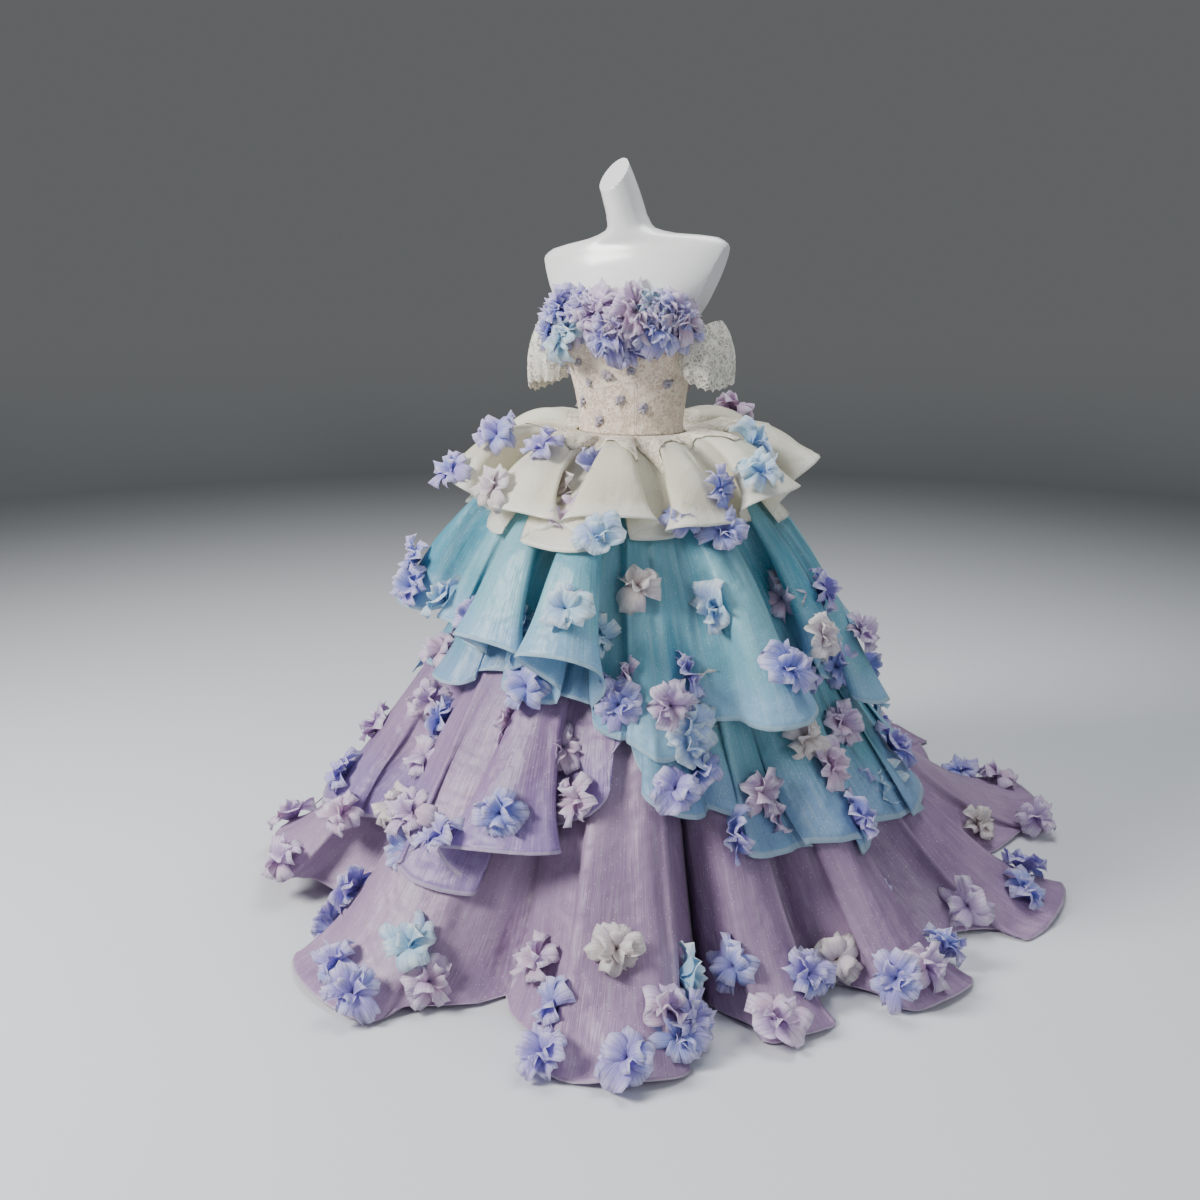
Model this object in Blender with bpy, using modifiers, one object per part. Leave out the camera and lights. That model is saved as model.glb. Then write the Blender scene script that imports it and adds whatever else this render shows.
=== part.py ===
"""Ball gown of fluted organza tiers on a limbless dress form with a round stand.

Metres, +Z up. The origin is the centre of the stand's underside, the wearer faces -Y and the
wearer's left is +X. Directions are degrees round the body, 0 at the front and growing towards
the wearer's left. Every piece a maker would cut is one closed solid, and cloth is a thin wall.
"""
import math
from collections import namedtuple

import bmesh
import bpy
from mathutils import Matrix, Quaternion, Vector
from mathutils.bvhtree import BVHTree

# ---------------------------------------------------------------- sizes
CLOTH = 0.0018  # wall of every cloth panel
SEAM_GAP = 0.0007  # half the space between two panels sewn edge to edge
BODY_GAP = 0.0030  # between the dress form and the bodice
LAYER_GAP = 0.008  # least space between two skirt layers
SEW_GAP = 0.0024  # between a skirt layer and the seam of the one sewn on it
SPREAD = 0.022  # how far round a point the layer below is felt
HEM_LEVEL = 0.004  # the floor-length hem lies this far above the floor
WAIST = 1.050  # bottom edge of the bodice

POLE_RADIUS = 0.014
BASE_RADIUS = 0.180
BASE_HEIGHT = 0.014
COLLAR_RADIUS = 0.030
COLLAR_HEIGHT = 0.040
FORM_BOTTOM = 0.800
FORM_SEGMENTS = 36
FORM_RINGS = 30

# ---------------------------------------------------------------- the dress form
Section = namedtuple("Section", "level wide deep ahead")  # half width and half depth
BODY = (
    Section(0.770, 0.125, 0.090, 0.000),
    Section(0.840, 0.160, 0.113, 0.000),
    Section(0.910, 0.166, 0.118, 0.000),
    Section(0.980, 0.146, 0.106, 0.000),
    Section(1.050, 0.116, 0.089, 0.000),
    Section(1.120, 0.120, 0.092, 0.003),
    Section(1.190, 0.134, 0.101, 0.008),
    Section(1.250, 0.144, 0.112, 0.012),
    Section(1.290, 0.152, 0.109, 0.009),
    Section(1.340, 0.184, 0.100, 0.002),
    Section(1.390, 0.214, 0.084, -0.006),
    Section(1.430, 0.218, 0.070, -0.008),
    Section(1.452, 0.190, 0.062, -0.006),
    Section(1.466, 0.112, 0.058, 0.002),
    Section(1.484, 0.062, 0.056, 0.010),
    Section(1.520, 0.043, 0.050, 0.018),
    Section(1.570, 0.039, 0.046, 0.030),
    Section(1.620, 0.032, 0.043, 0.044),
    Section(1.690, 0.020, 0.036, 0.066),
)
ARM_CUT = (Vector((0.182, 0.0, 1.365)), Vector((0.917, 0.0, -0.397)))
NECK_CUT = (Vector((0.0, -0.034, 1.604)), Vector((-0.349, -0.656, 0.669)))
SHOULDER_TILT = 0.055  # rise of the wearer's left shoulder over the right, per metre across
NECK_ROOT = 1.480
NECK_LEAN = 0.22  # how far the neck leans to the wearer's right, per metre up

# ---------------------------------------------------------------- bodice and sleeves
Panel = namedtuple("Panel", "name start end")
BODICE = (
    Panel("bodice_centre_front", -24.0, 24.0),
    Panel("bodice_side_L", 24.0, 100.0),
    Panel("bodice_back_L", 100.0, 180.0),
    Panel("bodice_back_R", 180.0, 260.0),
    Panel("bodice_side_R", 260.0, 336.0),
)
NECKLINE = (1.296, 1.316, 1.262)  # centre front, cup top, centre back
CUP_OUT = 0.014
CUP_DIRECTION = 36.0
CUP_LEVEL = 1.262
# An arm loop is given at its top and its hem: its middle's distance from the middle of the
# body, its half width and half depth, and its level.
Loop = namedtuple("Loop", "centre wide deep level")
SLEEVES = (
    ("sleeve_L", 1, Loop(0.168, 0.036, 0.056, 1.292), Loop(0.180, 0.066, 0.072, 1.142)),
    ("sleeve_R", -1, Loop(0.180, 0.058, 0.060, 1.312), Loop(0.180, 0.064, 0.070, 1.136)),
)
SLEEVE_SWEEP = 122.0
SLEEVE_DIP = 0.040  # how much lower the top edge lies where it meets the bodice

# ---------------------------------------------------------------- the skirt's tiers
# A flute's direction in degrees, how far its ridge stands out at the hem and how far it
# rises, how much it rolls over into a tube, and how much of the tier's length it has.
Flute = namedtuple("Flute", "direction depth lift curl reach")

SKIRT = dict(
    flutes=(
        Flute(-21, 0.235, 0.000, 0.02, 1.00),
        Flute(25, 0.245, 0.000, 0.02, 1.00),
        Flute(47, 0.100, 0.000, 0.05, 1.00),
        Flute(64, 0.250, 0.000, 0.04, 1.00),
        Flute(101, 0.235, 0.000, 0.06, 1.00),
        Flute(134, 0.200, 0.000, 0.05, 1.00),
        Flute(165, 0.150, 0.000, 0.04, 1.00),
        Flute(197, 0.160, 0.000, 0.04, 1.00),
        Flute(229, 0.170, 0.000, 0.05, 1.00),
        Flute(263, 0.210, 0.000, 0.06, 1.00),
        Flute(300, 0.230, 0.050, 0.09, 0.98),
    ),
    seam=1.020,
    front=((0.330, 0.690), (0.490, 0.090), (0.640, HEM_LEVEL)),
    side=((0.335, 0.690), (0.500, 0.090), (0.700, HEM_LEVEL)),
    back=((0.350, 0.700), (0.580, 0.070), (1.130, HEM_LEVEL)),
    tight=0.42,
    ramp=1.10,
    broad=0.50,
    steps=8,
    rows=5,
    panels=(
        Panel("skirt_front", -0.5, 1.5),
        Panel("skirt_side_L", 1.5, 4.5),
        Panel("skirt_train_L", 4.5, 6.5),
        Panel("skirt_train_R", 6.5, 8.5),
        Panel("skirt_side_R", 8.5, 10.5),
    ),
)
LILAC_UPPER = dict(
    flutes=(
        Flute(2, 0.150, 0.030, 0.13, 0.90),
        Flute(32, 0.020, 0.000, 0.00, 0.46),
        Flute(84, 0.020, 0.000, 0.00, 0.46),
        Flute(136, 0.020, 0.000, 0.00, 0.50),
        Flute(190, 0.020, 0.000, 0.00, 0.54),
        Flute(238, 0.060, 0.010, 0.06, 0.86),
        Flute(272, 0.090, 0.020, 0.10, 0.92),
        Flute(305, 0.110, 0.030, 0.12, 0.92),
        Flute(334, 0.085, 0.010, 0.10, 0.82),
    ),
    seam=0.800,
    start=0.262,
    front=((0.380, 0.640), (0.455, 0.380), (0.500, 0.130)),
    side=((0.380, 0.640), (0.465, 0.380), (0.520, 0.120)),
    back=((0.380, 0.640), (0.470, 0.380), (0.540, 0.120)),
    tight=0.25,
    ramp=1.2,
    broad=1.0,
    steps=8,
    rows=3,
    panels=(Panel("lilac_upper_front", -2.5, 1.5), Panel("lilac_upper_back", 1.5, 6.5)),
)
AQUA_LOWER = dict(
    flutes=(
        Flute(6, 0.060, 0.000, 0.06, 0.58),
        Flute(30, 0.110, 0.000, 0.12, 0.78),
        Flute(52, 0.105, 0.000, 0.13, 0.88),
        Flute(76, 0.080, 0.000, 0.12, 0.90),
        Flute(102, 0.075, 0.000, 0.12, 0.93),
        Flute(135, 0.095, 0.000, 0.12, 0.95),
        Flute(172, 0.105, 0.000, 0.12, 0.98),
        Flute(210, 0.105, 0.000, 0.12, 0.94),
        Flute(248, 0.090, 0.010, 0.12, 0.80),
        Flute(286, 0.085, 0.010, 0.12, 0.67),
        Flute(323, 0.070, 0.000, 0.10, 0.60),
    ),
    seam=0.925,
    start=0.190,
    front=((0.320, 0.830), (0.410, 0.560), (0.490, 0.150)),
    side=((0.315, 0.830), (0.405, 0.560), (0.480, 0.130)),
    back=((0.320, 0.830), (0.420, 0.560), (0.520, 0.140)),
    tight=0.22,
    ramp=1.2,
    broad=1.0,
    steps=8,
    rows=3,
    panels=(Panel("aqua_lower_front", -2.5, 3.5), Panel("aqua_lower_back", 3.5, 8.5)),
)
AQUA_UPPER = dict(
    flutes=(
        Flute(8, 0.120, 0.055, 0.17, 0.92),
        Flute(31, 0.060, 0.010, 0.02, 0.97),
        Flute(50, 0.115, 0.040, 0.14, 0.97),
        Flute(69, 0.085, 0.020, 0.12, 0.97),
        Flute(97, 0.125, 0.040, 0.15, 0.99),
        Flute(128, 0.120, 0.030, 0.13, 1.00),
        Flute(161, 0.120, 0.035, 0.14, 1.02),
        Flute(195, 0.120, 0.030, 0.12, 1.00),
        Flute(229, 0.120, 0.030, 0.13, 0.98),
        Flute(262, 0.115, 0.040, 0.13, 0.92),
        Flute(293, 0.125, 0.060, 0.15, 0.86),
        Flute(319, 0.075, 0.030, 0.11, 0.88),
        Flute(341, 0.080, 0.030, 0.14, 0.90),
    ),
    seam=1.034,
    front=((0.250, 0.990), (0.365, 0.800), (0.415, 0.500)),
    side=((0.250, 0.990), (0.365, 0.790), (0.425, 0.480)),
    back=((0.250, 0.990), (0.370, 0.780), (0.440, 0.450)),
    tight=0.12,
    ramp=1.15,
    broad=1.0,
    steps=8,
    rows=4,
    panels=(Panel("aqua_upper_front", -3.5, 3.5), Panel("aqua_upper_back", 3.5, 9.5)),
)
PEPLUM = dict(
    flutes=(
        Flute(0, 0.100, 0.035, 0.14, 0.98),
        Flute(21, 0.090, 0.030, 0.16, 1.00),
        Flute(40, 0.095, 0.030, 0.14, 1.00),
        Flute(61, 0.115, 0.055, 0.16, 1.00),
        Flute(90, 0.135, 0.095, 0.15, 0.97),
        Flute(123, 0.145, 0.130, 0.14, 0.96),
        Flute(159, 0.140, 0.155, 0.13, 0.95),
        Flute(198, 0.140, 0.155, 0.13, 0.95),
        Flute(239, 0.145, 0.140, 0.14, 0.96),
        Flute(281, 0.150, 0.110, 0.14, 0.98),
        Flute(324, 0.140, 0.055, 0.14, 1.00),
    ),
    seam=1.0475,
    front=((0.175, 1.055), (0.235, 0.980), (0.262, 0.840)),
    side=((0.185, 1.060), (0.240, 0.985), (0.265, 0.850)),
    back=((0.175, 1.060), (0.235, 0.990), (0.265, 0.860)),
    tight=0.06,
    ramp=1.15,
    broad=1.0,
    steps=8,
    rows=3,
    panels=(Panel("peplum_front", -2.5, 4.5), Panel("peplum_back", 4.5, 8.5)),
)
BASQUE_DEPTH = (0.17, 0.29)  # how far the lace edge reaches down the peplum

# ---------------------------------------------------------------- flowers
# A flower's place is a direction and a level on the bodice, or a flute and a share of the
# way down on a tier. Its size is the radius of the head.
Bloom = namedtuple("Bloom", "name tint layer across down size")
BLOOMS = (
    Bloom("bust_flower_1", "violet", "bodice", -57.0, 1.250, 0.030),
    Bloom("bust_flower_2", "violet", "bodice", -37.0, 1.302, 0.032),
    Bloom("bust_flower_3", "aqua", "bodice", -29.0, 1.228, 0.032),
    Bloom("bust_flower_4", "lilac", "bodice", -9.0, 1.296, 0.036),
    Bloom("bust_flower_5", "violet", "bodice", 5.0, 1.226, 0.035),
    Bloom("bust_flower_6", "lilac", "bodice", 22.0, 1.298, 0.036),
    Bloom("bust_flower_7", "violet", "bodice", 38.0, 1.236, 0.034),
    Bloom("bust_flower_8", "lilac", "bodice", 57.0, 1.284, 0.030),
    Bloom("flower_01", "lilac", "peplum", -2.0, 0.80, 0.034),
    Bloom("flower_02", "violet", "peplum", -1.0, 0.74, 0.036),
    Bloom("flower_03", "aqua", "peplum", 0.0, 0.72, 0.030),
    Bloom("flower_04", "violet", "peplum", 3.0, 0.78, 0.032),
    Bloom("flower_05", "aqua", "peplum", 4.0, 0.82, 0.036),
    Bloom("flower_06", "lilac", "peplum", 6.0, 0.80, 0.036),
    Bloom("flower_07", "violet", "aqua_upper", -3.0, 0.84, 0.038),
    Bloom("flower_08", "aqua", "aqua_upper", 0.0, 0.86, 0.036),
    Bloom("flower_09", "violet", "aqua_upper", 2.0, 0.88, 0.038),
    Bloom("flower_10", "lilac", "aqua_upper", 4.0, 0.84, 0.038),
    Bloom("flower_11", "violet", "aqua_upper", 6.0, 0.84, 0.038),
    Bloom("flower_12", "violet", "aqua_lower", 1.0, 0.94, 0.036),
    Bloom("flower_13", "lilac", "aqua_lower", 2.0, 0.88, 0.038),
    Bloom("flower_14", "violet", "aqua_lower", 4.0, 0.90, 0.038),
    Bloom("flower_15", "violet", "lilac_upper", 0.0, 0.88, 0.038),
    Bloom("flower_16", "lilac", "lilac_upper", 6.0, 0.86, 0.036),
    Bloom("flower_17", "lilac", "skirt", 1.0, 0.86, 0.040),
    Bloom("flower_18", "violet", "skirt", 1.0, 0.96, 0.038),
    Bloom("flower_19", "violet", "skirt", 0.0, 0.90, 0.038),
    Bloom("flower_20", "lilac", "skirt", 3.0, 0.90, 0.040),
    Bloom("flower_21", "violet", "skirt", 4.0, 0.92, 0.038),
    Bloom("flower_22", "lilac", "skirt", 7.0, 0.92, 0.040),
)
FLOWER_GAP = 0.003  # between the cloth and the nearest point of a flower's underside

COLOURS = {  # base colour, roughness, metallic
    "form_gloss": ((0.86, 0.86, 0.85), 0.18, 0.0),
    "stand_metal": ((0.62, 0.63, 0.65), 0.30, 0.9),
    "lace": ((0.82, 0.72, 0.62), 0.75, 0.0),
    "cream": ((0.84, 0.80, 0.66), 0.65, 0.0),
    "aqua": ((0.42, 0.70, 0.76), 0.55, 0.0),
    "lilac": ((0.56, 0.46, 0.62), 0.55, 0.0),
    "bloom_violet": ((0.40, 0.36, 0.74), 0.60, 0.0),
    "bloom_lilac": ((0.66, 0.52, 0.70), 0.60, 0.0),
    "bloom_aqua": ((0.50, 0.72, 0.82), 0.60, 0.0),
}


# ---------------------------------------------------------------- helpers
def material(name):
    """The named Principled material, made the first time it is asked for."""
    found = bpy.data.materials.get(name)
    if found:
        return found
    colour, roughness, metallic = COLOURS[name]
    found = bpy.data.materials.new(name)
    found.use_nodes = True
    shader = found.node_tree.nodes["Principled BSDF"]
    shader.inputs["Base Color"].default_value = (*colour, 1.0)
    shader.inputs["Roughness"].default_value = roughness
    shader.inputs["Metallic"].default_value = metallic
    found.diffuse_color = (*colour, 1.0)
    return found


def add(name, bm, slot, smooth=True):
    """The bmesh as an object of the gown's collection, with its material."""
    mesh = bpy.data.meshes.new(name)
    bm.to_mesh(mesh)
    bm.free()
    for face in mesh.polygons:
        face.use_smooth = smooth
    mesh.materials.append(material(slot))
    obj = bpy.data.objects.new(name, mesh)
    GOWN.objects.link(obj)
    return obj


def wall(obj, thickness=CLOTH):
    """The open surface made a closed wall, its thickness going in from the outer side."""
    solidify = obj.modifiers.new("wall", "SOLIDIFY")
    solidify.thickness = thickness
    solidify.offset = -1.0
    return obj


def sheet(columns, rows, place, closed=False):
    """A grid whose corners go where place(across, down) says, both running from 0 to 1."""
    bm = bmesh.new()
    bmesh.ops.create_grid(bm, x_segments=columns, y_segments=rows, size=0.5)
    for vertex in bm.verts:
        across = round(vertex.co.x + 0.5, 6)
        vertex.co = place(across % 1.0 if closed else across, 0.5 - vertex.co.y)
    if closed:
        bmesh.ops.remove_doubles(bm, verts=bm.verts, dist=1e-5)
    return bm


def smooth_between(a, b, c, d, share):
    """The curve through b and c that also heeds a and d, read at a share of the way."""
    return b + 0.5 * share * (
        c - a + share * (2 * a - 5 * b + 4 * c - d + share * (3 * (b - c) + d - a))
    )


def outer_tree(objects):
    """A search tree of each object's finished surface."""
    graph = bpy.context.evaluated_depsgraph_get()
    return [BVHTree.FromObject(obj, graph) for obj in objects]


# ---------------------------------------------------------------- body
def body_at(level):
    """Half width, half depth and forward shift of the dress form at a level."""
    last = len(BODY) - 1
    i = max(k for k in range(last) if k == 0 or BODY[k].level <= level)
    near = [BODY[min(max(k, 0), last)] for k in (i - 1, i, i + 1, i + 2)]
    share = min(max((level - near[1].level) / (near[2].level - near[1].level), 0.0), 1.0)
    return [
        smooth_between(*(getattr(row, column) for row in near), share)
        for column in ("wide", "deep", "ahead")
    ]


def body_point(direction, level, out=0.0):
    """A point of the form's surface, or one standing out from it."""
    wide, deep, ahead = body_at(level)
    turn = math.radians(direction)
    return Vector(
        ((wide + out) * math.sin(turn), -(deep + out) * math.cos(turn) - ahead, level)
    )


def body_radius(angle, level, out):
    """Distance from the axis to the form's surface, moved out, in one direction."""
    wide, deep, _ = body_at(level)
    return 1 / math.hypot(math.sin(angle) / (wide + out), math.cos(angle) / (deep + out))


def dress_form():
    """The smooth limbless form: a sphere's rings set to the sections, then cut flat."""
    bm = bmesh.new()
    bmesh.ops.create_uvsphere(
        bm, u_segments=FORM_SEGMENTS, v_segments=FORM_RINGS, radius=1.0
    )
    low, high = BODY[0].level, BODY[-1].level
    for vertex in bm.verts:
        down = math.acos(max(-1.0, min(1.0, vertex.co.z))) / math.pi
        level = high + (low - high) * down
        if math.hypot(vertex.co.x, vertex.co.y) < 1e-4:
            vertex.co = (0.0, 0.0, level)
            continue
        around = math.degrees(math.atan2(vertex.co.x, -vertex.co.y))
        vertex.co = body_point(around, level)
        rise = min(max((level - 1.33) / 0.08, 0.0), 1.0) * (level < 1.50)
        vertex.co.z += SHOULDER_TILT * vertex.co.x * rise
        vertex.co.x -= NECK_LEAN * max(0.0, level - NECK_ROOT)
    left = ARM_CUT
    right = tuple(Vector((-v.x, v.y, v.z)) for v in ARM_CUT)
    level_cut = (Vector((0.0, 0.0, FORM_BOTTOM)), Vector((0.0, 0.0, -1.0)))
    for point, normal in (left, right, NECK_CUT, level_cut):
        cut = bmesh.ops.bisect_plane(
            bm,
            geom=bm.verts[:] + bm.edges[:] + bm.faces[:],
            dist=1e-6,
            plane_co=point,
            plane_no=normal,
            clear_outer=True,
        )
        rim = [e for e in cut["geom_cut"] if isinstance(e, bmesh.types.BMEdge)]
        bmesh.ops.holes_fill(bm, edges=rim, sides=0)
    bmesh.ops.recalc_face_normals(bm, faces=bm.faces)
    obj = add("form_torso", bm, "form_gloss")
    for face in obj.data.polygons:
        face.use_smooth = len(face.vertices) <= 4
    return obj


def stand():
    """A weighted disc with a collar, and the pole up to the form."""
    bm = bmesh.new()
    bmesh.ops.create_cone(
        bm,
        cap_ends=True,
        segments=48,
        radius1=BASE_RADIUS,
        radius2=BASE_RADIUS,
        depth=BASE_HEIGHT,
        matrix=Matrix.Translation((0, 0, BASE_HEIGHT / 2)),
    )
    disc = add("stand_base", bm, "stand_metal", smooth=False)
    bevel = disc.modifiers.new("edge", "BEVEL")
    bevel.width = 0.004
    bevel.segments = 2
    top = FORM_BOTTOM - 0.0003
    profile = (
        (0.0, BASE_HEIGHT + 0.0003),
        (COLLAR_RADIUS, BASE_HEIGHT + 0.0003),
        (COLLAR_RADIUS, BASE_HEIGHT + COLLAR_HEIGHT * 0.7),
        (POLE_RADIUS + 0.006, BASE_HEIGHT + COLLAR_HEIGHT),
        (POLE_RADIUS, BASE_HEIGHT + COLLAR_HEIGHT),
        (POLE_RADIUS, top),
        (0.0, top),
    )
    bm = bmesh.new()
    corners = [bm.verts.new((radius, 0.0, level)) for radius, level in profile]
    rim = [bm.edges.new(pair) for pair in zip(corners, corners[1:])]
    bmesh.ops.spin(
        bm,
        geom=corners + rim,
        cent=(0, 0, 0),
        axis=(0, 0, 1),
        angle=math.tau,
        steps=24,
        use_merge=True,
    )
    bmesh.ops.remove_doubles(bm, verts=bm.verts, dist=1e-5)
    bmesh.ops.recalc_face_normals(bm, faces=bm.faces)
    add("stand_pole", bm, "stand_metal", smooth=False)


# ---------------------------------------------------------------- bodice and sleeves
def neckline(direction):
    """Level of the bodice's top edge: two cup tops in front, lower across the back."""
    around = abs((direction + 180.0) % 360.0 - 180.0)
    front, cup, back = NECKLINE
    bump = math.exp(-(((around - CUP_DIRECTION) / 22.0) ** 2))
    fall = min(max((around - 50.0) / 90.0, 0.0), 1.0)
    return front + (cup - front) * bump + (back - front) * fall * fall * (3 - 2 * fall)


def bodice_point(direction, level, out=0.0):
    """A point of the bodice's outer side, rounded out over the two cups."""
    around = abs((direction + 180.0) % 360.0 - 180.0)
    cup = CUP_OUT * math.exp(
        -(((around - CUP_DIRECTION) / 30.0) ** 2) - ((level - CUP_LEVEL) / 0.055) ** 2
    )
    return body_point(direction, level, BODY_GAP + CLOTH + cup + out)


def bodice_panel(panel):
    """One panel of the corset, from the waist seam up to the neckline."""
    trim = math.degrees(SEAM_GAP / 0.12)
    first, last = panel.start + trim, panel.end - trim

    def place(across, down):
        direction = first + (last - first) * across
        top = neckline(direction)
        return bodice_point(direction, top + (WAIST - top) * down)

    columns = max(4, round((panel.end - panel.start) / 12.0))
    return wall(add(panel.name, sheet(columns, 4, place), "lace"))


def sleeve(name, side, top, hem):
    """An off-the-shoulder loop of lace, open above and below, flared to a wavy hem."""

    def place(across, down):
        turn = math.radians(SLEEVE_SWEEP) * (2 * across - 1)
        inward = (1 - math.cos(turn)) / 2
        centre, wide, deep, _ = (a + (b - a) * down for a, b in zip(top, hem))
        first = top.level - SLEEVE_DIP * inward
        last = hem.level + 0.030 * inward + 0.006 * math.cos(9 * turn)
        x = centre + wide * math.cos(turn)
        return Vector(
            (side * x, side * deep * math.sin(turn), first + (last - first) * down)
        )

    return wall(add(name, sheet(14, 2, place), "lace"))


# ---------------------------------------------------------------- tiers
def along(flutes, column, at):
    """A column of a flute table read smoothly anywhere round the body."""
    first = math.floor(at)
    values = []
    for k in range(first - 1, first + 3):
        turns, row = divmod(k, len(flutes))
        values.append(getattr(flutes[row], column) + 360.0 * turns * (column == "direction"))
    return smooth_between(*values, at - first)


def profile_point(tier, angle, share):
    """Radius and level of the tier's troughs, in one direction, a share of the way down."""
    cosine = math.cos(angle)
    start = tier.get("start") or body_radius(angle, tier["seam"], BODY_GAP + 2 * CLOTH)
    points = [(start, tier["seam"])]
    for front, side, back in zip(tier["front"], tier["side"], tier["back"]):
        middle = [(f + b) / 2 for f, b in zip(front, back)]
        points.append(
            [
                (m + s) / 2 + (f - b) / 2 * cosine + (m - s) / 2 * math.cos(2 * angle)
                for f, s, b, m in zip(front, side, back, middle)
            ]
        )
    rest = 1.0 - share
    weights = (rest**3, 3 * share * rest**2, 3 * share**2 * rest, share**3)
    return [sum(w * p[axis] for w, p in zip(weights, points)) for axis in (0, 1)]


def tier_point(tier, at, down):
    """A point of a tier: its trough line, plus the flute's ridge, rise and roll."""
    flutes = tier["flutes"]
    direction, depth, lift, curl, reach = (along(flutes, c, at) for c in Flute._fields)
    width = along(flutes, "direction", at + 0.5) - along(flutes, "direction", at - 0.5)
    swing = math.tau * at
    full = max(0.0, (down - tier["tight"]) / (1 - tier["tight"])) ** tier["ramp"]
    ridge = ((1 + math.cos(swing)) / 2) ** tier["broad"] * full
    angle = math.radians(direction + curl * width * math.sin(2 * swing) * full)
    radius, level = profile_point(tier, angle, down * reach)
    radius += depth * ridge
    level = max(HEM_LEVEL, level + lift * ridge)
    return Vector((radius * math.sin(angle), -radius * math.cos(angle), level))


def outside(point, under, gap, spread):
    """The point moved straight out until it stands clear of the layers under it."""
    radius = math.hypot(point.x, point.y)
    angle = math.atan2(point.x, -point.y)
    least = radius
    steps = (-1, 0, 1) if spread else (0,)
    for across in steps:
        for up in steps:
            turn = angle + across * spread / radius
            outward = Vector((math.sin(turn), -math.cos(turn), 0.0))
            origin = 2.0 * outward + Vector((0.0, 0.0, point.z + up * spread))
            for tree in under:
                hit = tree.ray_cast(origin, -outward)[0]
                if hit:
                    least = max(least, math.hypot(hit.x, hit.y) + gap)
    return Vector((least * math.sin(angle), -least * math.cos(angle), point.z))


def tier_panels(tier, slot, under):
    """The tier's panels, each laid outside the layers under it."""
    made = []
    for panel in tier["panels"]:
        trim = SEAM_GAP / 0.45 / math.tau * len(tier["flutes"])
        first, last = panel.start + trim, panel.end - trim

        def place(across, down):
            point = tier_point(tier, first + (last - first) * across, down)
            if not under:
                return point
            sewn = down < 1e-6
            return outside(
                point, under, SEW_GAP if sewn else LAYER_GAP, 0 if sewn else SPREAD
            )

        columns = round((panel.end - panel.start) * tier["steps"])
        bm = sheet(columns, tier["rows"], place)
        made.append(wall(add(panel.name, bm, slot)))
    bpy.context.view_layer.update()
    return made


def square_to(tier, at, down):
    """The direction standing square out of a tier at one of its points."""
    step = 0.02
    point = tier_point(tier, at, down)
    across = tier_point(tier, at + step, down) - point
    return (tier_point(tier, at, down + step) - point).cross(across).normalized()


def on_top(trees, point, normal):
    """Where a line coming in square to the cloth first meets it."""
    hits = [tree.ray_cast(point + normal * 0.12, -normal) for tree in trees]
    hits = [hit for hit in hits if hit[0]]
    return min(hits, key=lambda hit: hit[3])[0] if hits else None


def basque(peplum):
    """The bodice lace carried on over the top of the peplum, with a scalloped edge."""
    trees = outer_tree(peplum)
    count = len(PEPLUM["flutes"])

    def place(across, down):
        at = across * count + 0.01  # just off the seams, which a line could pass through
        shallow, deep = BASQUE_DEPTH
        edge = shallow + (deep - shallow) * (0.5 + 0.5 * math.cos(math.tau * 2.5 * at))
        share = 0.03 + edge * down
        normal = square_to(PEPLUM, at, share)
        return on_top(trees, tier_point(PEPLUM, at, share), normal) + normal * 0.0040

    return wall(add("lace_basque", sheet(count * 8, 1, place, True), "lace"), 0.0012)


# ---------------------------------------------------------------- flowers
def flower(bloom, centre, normal):
    """A five-petalled head as a low lobed dome standing on the cloth."""
    bm = bmesh.new()
    height = bloom.size * 0.42
    bmesh.ops.create_cone(
        bm,
        cap_ends=True,
        segments=15,
        radius1=bloom.size,
        radius2=bloom.size * 0.42,
        depth=height,
        matrix=Matrix.Translation((0, 0, height / 2)),
    )
    for vertex in bm.verts:
        lobe = 0.90 + 0.10 * math.cos(5 * math.atan2(vertex.co.y, vertex.co.x))
        vertex.co.x *= lobe
        vertex.co.y *= lobe
    turn = normal.to_track_quat("Z", "Y").to_matrix().to_4x4()
    bmesh.ops.transform(bm, matrix=Matrix.Translation(centre) @ turn, verts=bm.verts)
    add(bloom.name, bm, "bloom_" + bloom.tint, smooth=False)


def stand_off(trees, centre, normal, size):
    """How far a flat flower must stand out so that nothing under it comes through."""
    side = normal.orthogonal()
    most = 0.0
    for ring in (0.5, 1.0):
        for turn in range(12):
            arm = side.copy()
            arm.rotate(Quaternion(normal, math.tau * turn / 12))
            point = centre + arm * size * ring
            hit = on_top(trees, point, normal)
            if hit:
                most = max(most, (hit - centre).dot(normal))
    return most + FLOWER_GAP


# ---------------------------------------------------------------- the gown
for old in list(bpy.data.objects):
    bpy.data.objects.remove(old)
GOWN = bpy.data.collections.new("ball_gown")
bpy.context.scene.collection.children.link(GOWN)

form = dress_form()
stand()
bodice = [form] + [bodice_panel(panel) for panel in BODICE]
for row in SLEEVES:
    sleeve(*row)

layers = {}
layers["skirt"] = tier_panels(SKIRT, "lilac", [])
trees = outer_tree(layers["skirt"])
layers["lilac_upper"] = tier_panels(LILAC_UPPER, "lilac", trees)
trees = trees + outer_tree(layers["lilac_upper"])
layers["aqua_lower"] = tier_panels(AQUA_LOWER, "aqua", trees)
trees = trees + outer_tree(layers["aqua_lower"])
layers["aqua_upper"] = tier_panels(AQUA_UPPER, "aqua", trees)
layers["peplum"] = tier_panels(PEPLUM, "cream", trees + outer_tree(layers["aqua_upper"]))
basque(layers["peplum"])

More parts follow.
